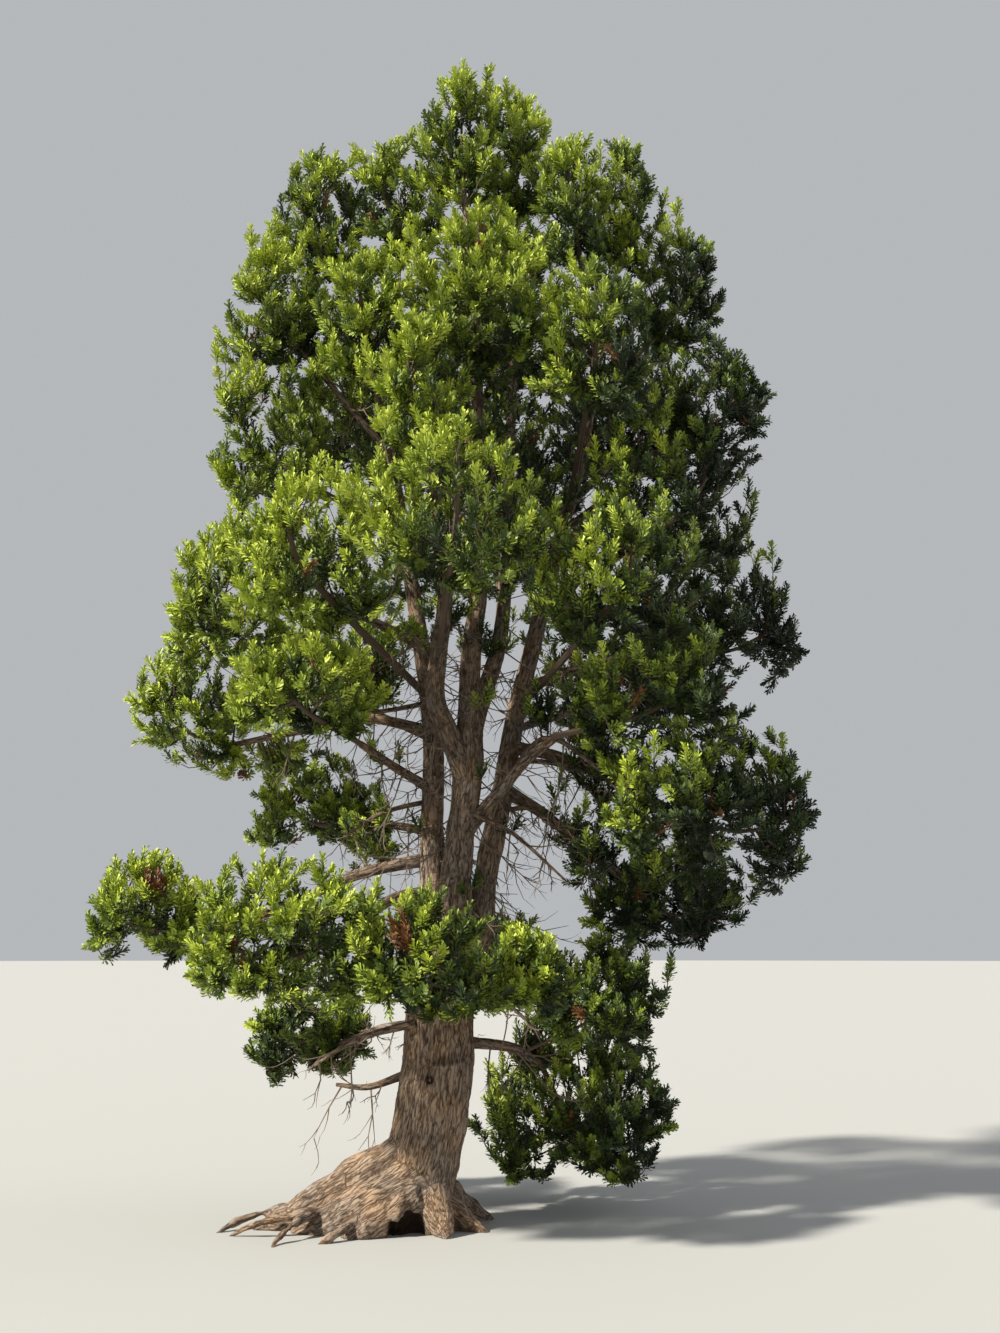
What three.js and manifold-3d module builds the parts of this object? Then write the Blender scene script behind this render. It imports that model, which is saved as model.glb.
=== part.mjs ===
// An old stone pine with several stems, 14 m tall, rooted in level ground.
// Millimetres, +Z up. The ground is z = 0 and the origin is in the flat cut under the trunk.
// +X is to the right and -Y is towards someone who looks at the tree's front.
import * as THREE from "three";
import { mergeVertices } from "three/addons/utils/BufferGeometryUtils.js";
import Module from "manifold-3d";

const wasm = await Module();
wasm.setup();

// Driving dimensions
const GAP = 0.3; // clearance where one piece meets the next
const FACET_SLACK = 0.1; // more clearance where two many-sided tubes meet
const CLEAR = 1; // what comes nearer than this to a neighbour is skipped
const LIFT = 0.55; // how strongly stems and twigs turn up towards the light

// A mass's stem
const STEM_GIRTH = 0.016; // its radius where it leaves a limb's side, as a share of its length
const STEM_LEAST = 24; // and the least that this radius is
const STEM_TAPER = 0.55; // how much of its radius is lost on the way to its end
const STEM_STRAIGHT = 60; // how far it keeps the direction of a limb whose tip it goes on from
const STEM_DROP = 0.25; // how far below the mass's middle it passes, as a share of half the height
const STEM_REACH = 0.62; // how far from there towards the mass's skin it ends
const STEM_SIDES = 3;
const STEM_RINGS = 4;

// The sprays of a mass
const FEWEST = 5; // a mass has this many, and one more for each SPRAY_EVERY of its spread
const SPRAY_EVERY = 125;
const LOWEST = -0.7; // the height of the lowest tips, from -1 at a mass's foot to 1 at its top
const HIGHEST = 0.75; // the same for the tips just under the topmost one
const ENTRY = 0.85; // they grow from where the stem has come this far into the mass
const ENTRY_STEP = 0.02; // looked for in steps of this share of the stem
const FIRST_FOOT = 0.3; // and never from nearer its start than this share of the stem
const LATEST_ENTRY = 0.6; // nor only from further along than this
const LAST_FOOT = 0.97; // the place of the topmost one
const FEET = 40; // how many places on a stem a spray may grow from
const SPRAY_LENGTH = 1000; // the longest spray of needles, from root to tip
const UPSWEEP = 0.75; // how far below its tip a spray is rooted, as a share of its length
const LEAST_WIDE = 0.85; // a short spray is as wide as one of this share of the longest
const NEEDLES_ROUND = 3; // how many needles stand out all round it
const SPRAY_NEEDLE = [0.7, 0.45]; // where a needle's tip is: along the spray and out of its middle
const SPRAY_WAIST = [0.45, 0.17]; // the same for the core between two needles
const GOLDEN_ANGLE = Math.PI * (3 - Math.sqrt(5));
const MOST_TURN = 6; // radians: the most that chance turns a mass or a spray
const UPRIGHT = 0.1; // what leans by less than this sine counts as upright

// The twig of a spray that is far from the stem
const TWIG_BEYOND = 1.3; // how far that is, as a share of the longest spray
const TWIG_SINK = 0.15; // how far back in its twig such a spray is rooted
const TWIG_GIRTH = [0.45, 4]; // its radius: a share of the stem's, and this much more
const TWIG_TAPER = 0.6; // the share of it that is left at its end
const TWIG_SIDES = 3;

const BARK = { color: 0x6e5a49, roughness: 0.95, metalness: 0 };
const LIMB_BARK = { color: 0x7a6653, roughness: 0.92, metalness: 0 };
const NEEDLES = { color: 0x4f6b2b, roughness: 0.7, metalness: 0 };

// The trunk and the leaders that stand on it. Each row of a path is x, y, z and radius.
const LEADERS = {
  trunk: {
    sides: 14,
    rings: 24,
    path: [
      // from under the ground, where it is cut off
      [-30, 0, -450, 400], [-80, 0, 0, 400], [-130, 0, 450, 385], [-20, 0, 1000, 400], [60, 0, 1600, 390],
      [100, 0, 2300, 370], [170, -20, 2900, 270], [240, -50, 3500, 185], [300, -50, 4200, 165],
      [400, -50, 5000, 165], [400, -20, 5700, 125], [420, 0, 6400, 115], [520, 0, 7200, 95],
      [500, 0, 8600, 80], [450, 0, 10200, 60], [350, 0, 11500, 42], [290, 0, 12300, 30],
    ],
  },
  right_leader: {
    sides: 8,
    rings: 16,
    path: [
      [300, 120, 2300, 180], [520, 240, 3100, 145], [580, 350, 3700, 140], [740, 420, 4500, 130],
      [930, 480, 5600, 115], [1160, 500, 6550, 100], [1450, 420, 7700, 85], [1760, 300, 8850, 68],
      [1970, 300, 10100, 52], [2230, 430, 11350, 34],
    ],
  },
  left_leader: {
    sides: 8,
    rings: 16,
    path: [
      [90, 100, 2850, 165], [-30, 330, 3700, 145], [-40, 450, 4500, 138], [-40, 500, 5250, 125],
      [-120, 550, 6000, 108], [-320, 580, 7200, 90], [-550, 550, 8600, 74], [-760, 500, 9800, 58],
      [-1280, 440, 11200, 38],
    ],
  },
  front_leader: {
    sides: 8,
    rings: 10,
    path: [
      [370, -80, 4800, 130], [170, -170, 5300, 122], [20, -260, 5700, 112], [60, -420, 6250, 98],
      [130, -640, 6800, 86], [80, -950, 7550, 66], [-120, -1200, 8250, 46],
    ],
  },
  inner_leader: {
    sides: 7,
    rings: 12,
    path: [
      [420, 20, 5350, 100], [590, 110, 5900, 98], [740, 200, 6450, 92], [810, 300, 7200, 82],
      [860, 400, 8600, 68], [910, 450, 10200, 52], [950, 500, 12150, 32],
    ],
  },
};

// The middle of the trunk's foot, and the roots that flare out of it: where each points (degrees from
// +X), how far it reaches from there, how high it leaves the trunk and how thick it is.
const TRUNK_FOOT = [-80, 0, 0];
const ROOTS = [
  { bearing: 183, reach: 1800, rise: 760, thick: 235 },
  { bearing: 214, reach: 980, rise: 560, thick: 190 },
  { bearing: 298, reach: 640, rise: 520, thick: 200 },
  { bearing: 342, reach: 740, rise: 340, thick: 150 },
  { bearing: 35, reach: 900, rise: 420, thick: 170 },
  { bearing: 88, reach: 850, rise: 460, thick: 180 },
  { bearing: 138, reach: 1050, rise: 480, thick: 185 },
];
const ROOT_SIDES = 7;
const ROOT_RINGS = 4;
// A root's arch: shares of its reach, its rise and its thickness, from the trunk outwards
const ROOT_ARCH = [[0.02, 1, 0.8], [0.35, 0.72, 1], [0.7, 0.25, 0.72]];
const ROOT_END = { z: -20, radius: 45 };
// The dark hollow between the big left root and the front foot
const HOLLOW = { at: [-190, -440, 60], half: [190, 170, 230], round: 8, high: 6 };
// What lies below the ground and is cut away, wider than the roots reach
const UNDERGROUND = [6000, 6000, 2000];

// The main boughs: the limb each grows on, the height at which it leaves it, the points it then
// passes, and its radius at both ends. A bough ends where it enters a mass of foliage.
const BOUGHS = {
  low_left_bough: {
    on: "left_leader", leaves: 3550, via: [[-450, -200, 3450], [-830, -850, 3100]], thick: [80, 45],
  },
  low_left_long_bough: {
    on: "left_leader",
    leaves: 3950,
    via: [[-900, 350, 3750], [-1800, 350, 3350], [-2600, -50, 3150]],
    thick: [75, 34],
  },
  low_left_under_bough: {
    on: "trunk", leaves: 2150, via: [[-550, 300, 2050], [-950, 750, 1900]], thick: [58, 34],
  },
  low_right_bough: {
    on: "trunk", leaves: 1950, via: [[850, 250, 1850], [1180, 600, 1650]], thick: [70, 42],
  },
  left_drop_bough: {
    on: "left_leader", leaves: 4250, via: [[-450, 800, 4350], [-850, 1100, 4400]], thick: [55, 36],
  },
  left_low_bough: {
    on: "left_leader", leaves: 4750, via: [[-430, 150, 4950], [-800, -450, 5150]], thick: [62, 38],
  },
  left_mid_bough: {
    on: "left_leader",
    leaves: 5450,
    via: [[-850, 480, 5600], [-1650, 520, 5450], [-2400, 560, 5300]],
    thick: [68, 34],
  },
  left_mid_limb: {
    on: "left_leader", leaves: 6500, via: [[-1000, 330, 6850], [-1750, 20, 7000]], thick: [62, 34],
  },
  left_shoulder_limb: {
    on: "left_leader", leaves: 8950, via: [[-1150, 430, 9550], [-1650, 370, 10150]], thick: [48, 28],
  },
  right_arm: {
    on: "trunk",
    leaves: 4150,
    via: [[700, -150, 4600], [1030, -500, 4950], [1350, -900, 5150]],
    thick: [88, 44],
  },
  right_low_bough: {
    on: "right_leader",
    leaves: 4750,
    via: [[1270, 420, 4450], [1850, 500, 3980], [2300, 600, 3650]],
    thick: [78, 40],
  },
  right_low_long_bough: {
    on: "right_leader",
    leaves: 5250,
    via: [[1500, 350, 5100], [2250, 50, 4700], [2900, -300, 4320]],
    thick: [78, 38],
  },
  right_mid_limb: {
    on: "right_leader", leaves: 5950, via: [[1900, 600, 6300], [2850, 700, 6480]], thick: [66, 38],
  },
  right_outer_limb: {
    on: "right_leader", leaves: 7900, via: [[2100, 180, 8300], [2750, -80, 8850]], thick: [50, 30],
  },
};
const BOUGH_SIDES = 6;
const BOUGH_RINGS = 5;

// The masses of foliage: the limb each grows on, the height at which its stem leaves that limb (with
// none, it goes on from the limb's very tip), its middle, half its spread, and how tall it is for it.
const MASSES = {
  // the tops of the leaders
  top_main: { on: "trunk", at: [270, 0, 13000], spread: 500, tall: 1.95 },
  top_second: { on: "inner_leader", at: [970, 500, 13000], spread: 500, tall: 1.95 },
  top_left: { on: "trunk", leaves: 10100, at: [-540, 80, 12100], spread: 540, tall: 1.7 },
  left_top: { on: "left_leader", at: [-1540, 400, 12100], spread: 560, tall: 1.8 },
  right_top: { on: "right_leader", leaves: 10000, at: [1660, -250, 11900], spread: 480, tall: 1.95 },
  right_tip: { on: "right_leader", at: [2350, 480, 12300], spread: 450, tall: 2.2 },
  // the upper crown
  upper_centre: { on: "trunk", leaves: 9300, at: [500, -1000, 10300], spread: 740, tall: 1.6 },
  upper_left: { on: "left_leader", leaves: 8500, at: [-800, -900, 10050], spread: 600, tall: 1.4 },
  left_shoulder: { on: "left_shoulder_limb", at: [-2080, 300, 10850], spread: 640, tall: 1.3 },
  right_shoulder: { on: "right_leader", leaves: 9500, at: [3000, 400, 11050], spread: 600, tall: 1.6 },
  right_front_top: { on: "right_leader", leaves: 8300, at: [1800, -1250, 9600], spread: 660, tall: 1.6 },
  right_outer: { on: "right_outer_limb", at: [3350, -250, 9250], spread: 640, tall: 1.25 },
  left_upper_outer: { on: "left_leader", leaves: 7850, at: [-2100, 450, 9150], spread: 780, tall: 1.5 },
  front_top: { on: "front_leader", at: [-200, -1500, 8950], spread: 500, tall: 1.85 },
  // the middle crown
  front_mid: { on: "front_leader", leaves: 6150, at: [280, -2100, 7300], spread: 930, tall: 1.12 },
  right_mid: { on: "right_leader", leaves: 7000, at: [2750, -450, 8000], spread: 820, tall: 1.2 },
  right_mid_low: { on: "right_leader", leaves: 5700, at: [1950, -1400, 6750], spread: 850, tall: 1.05 },
  right_mid_outer: { on: "right_mid_limb", at: [3500, 650, 6700], spread: 900, tall: 1.15 },
  left_mid_outer: { on: "left_mid_limb", at: [-2250, -250, 6900], spread: 850, tall: 1.2 },
  left_mid: { on: "left_leader", leaves: 5850, at: [-1250, -1450, 7000], spread: 800, tall: 1.2 },
  left_low_mid: { on: "left_low_bough", at: [-1350, -1350, 5550], spread: 820, tall: 0.72 },
  left_low_outer: { on: "left_mid_bough", at: [-2950, 650, 5650], spread: 740, tall: 1.2 },
  left_low_drop: { on: "left_drop_bough", at: [-1550, 1600, 4600], spread: 900, tall: 0.72 },
  right_inner_low: { on: "right_arm", at: [2350, -1200, 5550], spread: 850, tall: 0.8 },
  right_low: { on: "right_low_long_bough", leaves: 4900, at: [2600, -1100, 4450], spread: 780, tall: 1 },
  right_low_outer: { on: "right_low_long_bough", at: [3420, -500, 4400], spread: 800, tall: 1.15 },
  right_low_drop: { on: "right_low_bough", at: [2600, 750, 3520], spread: 960, tall: 0.68 },
  // the low boughs
  low_left_tip: { on: "low_left_long_bough", at: [-3150, -300, 3300], spread: 620, tall: 1.15 },
  low_left: { on: "low_left_bough", at: [-1450, -1400, 3020], spread: 1020, tall: 0.86 },
  low_front: { on: "trunk", leaves: 2350, at: [50, -1900, 2800], spread: 700, tall: 1.08 },
  low_right_front: { on: "trunk", leaves: 2150, at: [1000, -1200, 2650], spread: 480, tall: 1.05 },
  low_right_top: { on: "low_right_bough", leaves: 1780, at: [1850, 150, 2350], spread: 740, tall: 0.85 },
  low_right_skirt: { on: "low_right_bough", at: [1620, 1200, 1100], spread: 1200, tall: 0.8 },
  low_back_left: { on: "low_left_under_bough", at: [-1550, 1450, 1900], spread: 780, tall: 0.75 },
  low_back: { on: "trunk", leaves: 2250, at: [450, 2300, 2800], spread: 920, tall: 0.82 },
  // the back of the crown
  back_top: { on: "inner_leader", leaves: 9800, at: [800, 1750, 11350], spread: 920, tall: 1.55 },
  back_left_upper: { on: "left_leader", leaves: 8200, at: [-1150, 1950, 10000], spread: 960, tall: 1.15 },
  back_right_upper: { on: "right_leader", leaves: 8200, at: [2500, 2050, 9950], spread: 980, tall: 1.15 },
  back_mid: { on: "inner_leader", leaves: 6900, at: [600, 2250, 8800], spread: 1160, tall: 1.2 },
  back_left_mid: { on: "left_leader", leaves: 5350, at: [-1550, 2250, 6550], spread: 1060, tall: 0.95 },
  back_right_mid: { on: "right_leader", leaves: 5450, at: [2400, 2400, 6500], spread: 1080, tall: 0.95 },
};
const DEPTH_SHARE = 0.92; // a mass is a little less deep than it is wide
const FIRST_SEED = 11;

const UP = new THREE.Vector3(0, 0, 1);
const vector = ([x, y, z]) => new THREE.Vector3(x, y, z);
const { degToRad, lerp } = THREE.MathUtils;
// A direction, turned up a little as twigs do.
const turnedUp = (run) => run.clone().normalize().addScaledVector(UP, LIFT).normalize();

// A number from 0 to 1 that depends only on the three whole numbers given.
const PRIMES = [374761393, 668265263, 974634777];
const MIXERS = [1274126177, 2246822519];
function chance(seed, index, use) {
  let h = [seed, index, use].reduce((sum, n, k) => sum + Math.imul(n, PRIMES[k]), 0);
  h = Math.imul(h ^ (h >>> 13), MIXERS[0]);
  h = Math.imul(h ^ (h >>> 16), MIXERS[1]);
  return ((h ^ (h >>> 15)) >>> 0) / 2 ** 32;
}

// A curve through points, with the radius that goes with every place along it.
function limbCurve(rows) {
  const line = new THREE.CatmullRomCurve3(rows.map(vector), false, "catmullrom");
  const radius = (t) => {
    const place = Math.min(t, 1) * (rows.length - 1);
    const i = Math.min(Math.floor(place), rows.length - 2);
    return lerp(rows[i][3], rows[i + 1][3], place - i);
  };
  return { line, radius };
}

// Where along a limb it reaches a height. With no height given, this is its end.
const LOOK_UP_STEPS = 400;
function placeOn(limb, height) {
  if (height === undefined) return 1;
  const off = (t) => Math.abs(limb.line.getPoint(t).z - height);
  const places = Array.from({ length: LOOK_UP_STEPS }, (_, i) => i / LOOK_UP_STEPS);
  return places.reduce((best, t) => (off(t) < off(best) ? t : best));
}

// A closed solid from a three.js geometry.
function solidFrom(geometry) {
  const bare = geometry.clone();
  bare.deleteAttribute("normal");
  bare.deleteAttribute("uv");
  const merged = mergeVertices(bare, 1e-3);
  return new wasm.Manifold(
    new wasm.Mesh({
      numProp: 3,
      vertProperties: merged.attributes.position.array,
      triVerts: new Uint32Array(merged.index.array),
    }),
  );
}

// A tapering tube: a cylinder bent along a limb's curve.
function tube({ line, radius }, sides, rings, grow = 0) {
  const run = line.getPoint(1).sub(line.getPoint(0)).normalize();
  const steep = Math.abs(run.z) > Math.SQRT1_2;
  const aside = steep ? new THREE.Vector3(1, 0, 0) : UP;
  const geometry = new THREE.CylinderGeometry(1, 1, 1, sides, rings);
  const position = geometry.attributes.position;
  for (let i = 0; i < position.count; i++) {
    const t = position.getY(i) + 0.5;
    const along = line.getTangent(t);
    const across = aside.clone().addScaledVector(along, -aside.dot(along)).normalize();
    const beside = across.clone().cross(along);
    const r = radius(t) + grow;
    const point = line.getPoint(t).addScaledVector(across, position.getX(i) * r);
    point.addScaledVector(beside, position.getZ(i) * r);
    position.setXYZ(i, point.x, point.y, point.z);
  }
  return solidFrom(geometry);
}

// A spray of needles: a slim core that runs to a point at both ends, with needles that stand out of
// it all round and lean towards its tip.
function spray(root, tip, roll, least) {
  const along = tip.clone().sub(root);
  const length = along.length();
  const wide = Math.max(length, least);
  along.normalize();
  const across = UP.clone().cross(along);
  if (across.length() < UPRIGHT) across.set(1, 0, 0);
  across.normalize();
  const place = ([forward, out], turn) => {
    const aside = across.clone().applyAxisAngle(along, roll + (2 * Math.PI * turn) / NEEDLES_ROUND);
    return root.clone().addScaledVector(along, forward * length).addScaledVector(aside, out * wide);
  };
  const corners = [];
  for (let i = 0; i < NEEDLES_ROUND; i++) {
    const here = place(SPRAY_WAIST, i);
    const next = place(SPRAY_WAIST, i + 1);
    const needle = place(SPRAY_NEEDLE, i + 0.5);
    corners.push(root, next, here, here, next, needle, next, tip, needle, tip, here, needle);
  }
  return solidFrom(new THREE.BufferGeometry().setFromPoints(corners));
}

// The largest piece of a solid, with any sealed hollow in it filled.
function wholeOf(solid) {
  return solid.decompose().reduce((most, piece) => (piece.volume() > most.volume() ? piece : most));
}

// Whether two solids' boxes come nearer to each other than a margin, and whether a solid is too near
// to any of its neighbours.
const near = (a, b, margin) => {
  const p = a.boundingBox();
  const q = b.boundingBox();
  return [0, 1, 2].every((k) => p.min[k] < q.max[k] + margin && q.min[k] < p.max[k] + margin);
};
const touches = (solid, others) =>
  others.some((other) => near(solid, other, CLEAR) && solid.minGap(other, 2 * CLEAR) < CLEAR);

const limbs = {};
const solids = {};
const cutters = {};

// A limb's solid, clear of every limb that was made before it.
function addLimb(name, rows, sides, rings) {
  const limb = limbCurve(rows);
  let solid = tube(limb, sides, rings);
  for (const cutter of Object.values(cutters)) {
    if (near(solid, cutter, CLEAR)) solid = solid.subtract(cutter);
  }
  limbs[name] = limb;
  solids[name] = wholeOf(solid);
  cutters[name] = tube(limb, sides, rings, GAP + FACET_SLACK);
}

// One root: it leaves the trunk's flank, arches down and runs out just under the ground's level.
function root({ bearing, reach, rise, thick }) {
  const out = new THREE.Vector3(Math.cos(degToRad(bearing)), Math.sin(degToRad(bearing)), 0);
  const foot = vector(TRUNK_FOOT);
  const at = (share, z, radius) => [...foot.clone().addScaledVector(out, share * reach).setZ(z), radius];
  const arch = ROOT_ARCH.map(([share, high, wide]) => at(share, high * rise, wide * thick));
  return tube(limbCurve([...arch, at(1, ROOT_END.z, ROOT_END.radius)]), ROOT_SIDES, ROOT_RINGS);
}

function trunkSolid() {
  let solid = tube(limbCurve(LEADERS.trunk.path), LEADERS.trunk.sides, LEADERS.trunk.rings);
  for (const r of ROOTS) solid = solid.add(root(r));
  const hollow = new THREE.SphereGeometry(1, HOLLOW.round, HOLLOW.high);
  hollow.scale(...HOLLOW.half).translate(...HOLLOW.at);
  const below = new THREE.BoxGeometry(...UNDERGROUND).translate(0, 0, -UNDERGROUND[2] / 2);
  return wholeOf(solid.subtract(solidFrom(hollow)).subtract(solidFrom(below)));
}

// How far out of a mass a point is: under 1 is inside.
function reachIn(mass, point) {
  const [x, y, z] = [0, 1, 2].map((k) => (point.getComponent(k) - mass.at[k]) / mass.half[k]);
  return Math.hypot(x, y, z);
}

// The distance from a point inside a mass to its skin, along a direction.
function toSkin(mass, point, along) {
  const p = [0, 1, 2].map((k) => (point.getComponent(k) - mass.at[k]) / mass.half[k]);
  const d = [0, 1, 2].map((k) => along.getComponent(k) / mass.half[k]);
  const a = d[0] ** 2 + d[1] ** 2 + d[2] ** 2;
  const b = p[0] * d[0] + p[1] * d[1] + p[2] * d[2];
  const c = p[0] ** 2 + p[1] ** 2 + p[2] ** 2 - 1;
  return (-b + Math.sqrt(Math.max(b * b - a * c, 0))) / a;
}

// How far along its stem a mass's first spray may grow.
function firstFoot(mass, stem) {
  let place = 0;
  while (place < LATEST_ENTRY && reachIn(mass, stem.line.getPoint(place)) > ENTRY) place += ENTRY_STEP;
  return Math.max(place, FIRST_FOOT);
}

// A mass's stem runs from its limb through the middle of the mass and turns up to its far side.
function stemOf(mass) {
  const limb = limbs[mass.on];
  const place = placeOn(limb, mass.leaves);
  const along = limb.line.getTangent(place);
  const start = limb.line.getPoint(place);
  const fromTip = mass.leaves === undefined;
  if (fromTip) start.addScaledVector(along, GAP);
  const middle = vector(mass.at).addScaledVector(UP, -STEM_DROP * mass.half[2]);
  const out = turnedUp(middle.clone().sub(start));
  const end = middle.clone().addScaledVector(out, STEM_REACH * toSkin(mass, middle, out));
  const length = start.distanceTo(middle) + middle.distanceTo(end);
  const thick = fromTip ? limb.radius(1) : Math.max(STEM_GIRTH * length, STEM_LEAST);
  const points = [start, middle, end];
  // the first stretch keeps the limb's own direction, so that both ends meet face to face
  if (fromTip) points.splice(1, 0, start.clone().addScaledVector(along, STEM_STRAIGHT));
  return limbCurve(points.map((p, i) => [...p, thick * (1 - (STEM_TAPER * i) / (points.length - 1))]));
}

// The sprays' tips: dealt over a mass's skin by the golden angle, low to high, with one at the top.
function tipOf(mass, i, sprays) {
  const level = i === sprays ? 1 : lerp(LOWEST, HIGHEST, i / (sprays - 1));
  const turn = GOLDEN_ANGLE * i + MOST_TURN * chance(mass.seed, 0, 1);
  const flat = Math.sqrt(1 - level ** 2);
  const outward = new THREE.Vector3(flat * Math.cos(turn), flat * Math.sin(turn), level);
  return outward.multiply(vector(mass.half)).add(vector(mass.at));
}

// A mass: its stem and its sprays, each rooted in the stem or, where that is far, in a side twig of
// its own that turns up. What would touch a neighbour is skipped.
function growMass(mass, others) {
  const { stem } = mass;
  const longest = Math.min(SPRAY_LENGTH, mass.spread * Math.sqrt(mass.tall));
  const sprays = Math.round(FEWEST + mass.spread / SPRAY_EVERY);
  const entry = firstFoot(mass, stem);
  const feet = Array.from({ length: FEET + 1 }, (_, k) => lerp(entry, LAST_FOOT, k / FEET));
  let { solid } = mass;
  for (let i = 0; i <= sprays; i++) {
    const tip = tipOf(mass, i, sprays);
    const low = tip.clone().addScaledVector(UP, -UPSWEEP * longest);
    const far = (t) => stem.line.getPoint(t).distanceTo(low);
    const foot = i === sprays ? LAST_FOOT : feet.reduce((best, t) => (far(t) < far(best) ? t : best));
    const pieces = [];
    let root = stem.line.getPoint(foot);
    if (root.distanceTo(tip) > TWIG_BEYOND * longest) {
      const along = turnedUp(tip.clone().sub(root));
      const end = tip.clone().addScaledVector(along, (TWIG_SINK - 1) * longest);
      const girth = TWIG_GIRTH[0] * stem.radius(foot) + TWIG_GIRTH[1];
      pieces.push(tube(limbCurve([[...root, girth], [...end, TWIG_TAPER * girth]]), TWIG_SIDES, 1));
      root = tip.clone().addScaledVector(along, -longest);
    }
    pieces.push(spray(root, tip, MOST_TURN * chance(mass.seed, i, 2), LEAST_WIDE * longest));
    if (pieces.some((piece) => touches(piece, others))) continue;
    for (const piece of pieces) solid = solid.add(piece);
  }
  return wholeOf(solid);
}

for (const [name, { path, sides, rings }] of Object.entries(LEADERS)) {
  addLimb(name, path, sides, rings);
  if (name === "trunk") solids.trunk = trunkSolid();
}
for (const [name, { on, leaves, via, thick }] of Object.entries(BOUGHS)) {
  const start = limbs[on].line.getPoint(placeOn(limbs[on], leaves)).toArray();
  const points = [start, ...via];
  const rows = points.map((p, i) => [...p, lerp(thick[0], thick[1], i / via.length)]);
  addLimb(name, rows, BOUGH_SIDES, BOUGH_RINGS);
}

Object.values(MASSES).forEach((mass, i) => {
  mass.seed = FIRST_SEED + i;
  mass.half = [mass.spread, mass.spread * DEPTH_SHARE, mass.spread * mass.tall];
  mass.stem = stemOf(mass);
  mass.solid = tube(mass.stem, STEM_SIDES, STEM_RINGS);
});
for (const [name, mass] of Object.entries(MASSES)) {
  const others = [
    ...Object.entries(cutters).map(([limb, cutter]) => (limb === mass.on ? solids[limb] : cutter)),
    ...Object.values(MASSES).filter((other) => other !== mass).map((other) => other.solid),
  ];
  mass.solid = growMass(mass, others);
  if (mass.leaves !== undefined) mass.solid = wholeOf(mass.solid.subtract(cutters[mass.on]));
  solids[name] = mass.solid;
}

function meshOf(name, solid, look) {
  const made = solid.getMesh();
  const geometry = new THREE.BufferGeometry();
  geometry.setAttribute("position", new THREE.BufferAttribute(new Float32Array(made.vertProperties), 3));
  geometry.setIndex(new THREE.BufferAttribute(new Uint32Array(made.triVerts), 1));
  geometry.computeVertexNormals();
  const mesh = new THREE.Mesh(geometry, new THREE.MeshStandardMaterial({ ...look, flatShading: true }));
  mesh.name = name;
  return mesh;
}

const tree = new THREE.Group();
for (const [name, solid] of Object.entries(solids)) {
  const look = name === "trunk" ? BARK : limbs[name] ? LIMB_BARK : NEEDLES;
  tree.add(meshOf(name, solid, look));
}

export default tree;
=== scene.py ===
# An old stone pine, dressed: bark with relief, twigs and needle shoots that grow on from the limbs
# by the rule that the solid masses follow, cones and dead twigs, on a plain floor in soft light.
# Metres, +Z up. +X is to the right and -Y is towards the camera.
import math

import bmesh
import bpy
import numpy as np
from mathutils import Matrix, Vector, noise


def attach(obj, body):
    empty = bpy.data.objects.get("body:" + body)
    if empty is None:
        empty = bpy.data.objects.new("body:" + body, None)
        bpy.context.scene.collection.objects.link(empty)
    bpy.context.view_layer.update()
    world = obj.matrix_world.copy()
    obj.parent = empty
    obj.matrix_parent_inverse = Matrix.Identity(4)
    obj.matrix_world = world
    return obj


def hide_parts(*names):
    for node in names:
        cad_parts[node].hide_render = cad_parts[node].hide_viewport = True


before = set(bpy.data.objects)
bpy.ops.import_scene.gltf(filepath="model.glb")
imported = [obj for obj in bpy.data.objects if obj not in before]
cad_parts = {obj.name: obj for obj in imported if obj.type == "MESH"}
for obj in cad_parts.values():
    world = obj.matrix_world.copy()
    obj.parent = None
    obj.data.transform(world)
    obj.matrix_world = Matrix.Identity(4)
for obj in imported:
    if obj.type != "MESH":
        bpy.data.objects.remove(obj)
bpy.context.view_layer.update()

UP = np.array([0.0, 0.0, 1.0])
GOLDEN_ANGLE = math.pi * (3 - math.sqrt(5))
PIECE_LIMIT = 190000  # the most triangles in one piece of needles
TIP = None  # a stem that goes on from the very end of its limb

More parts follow.
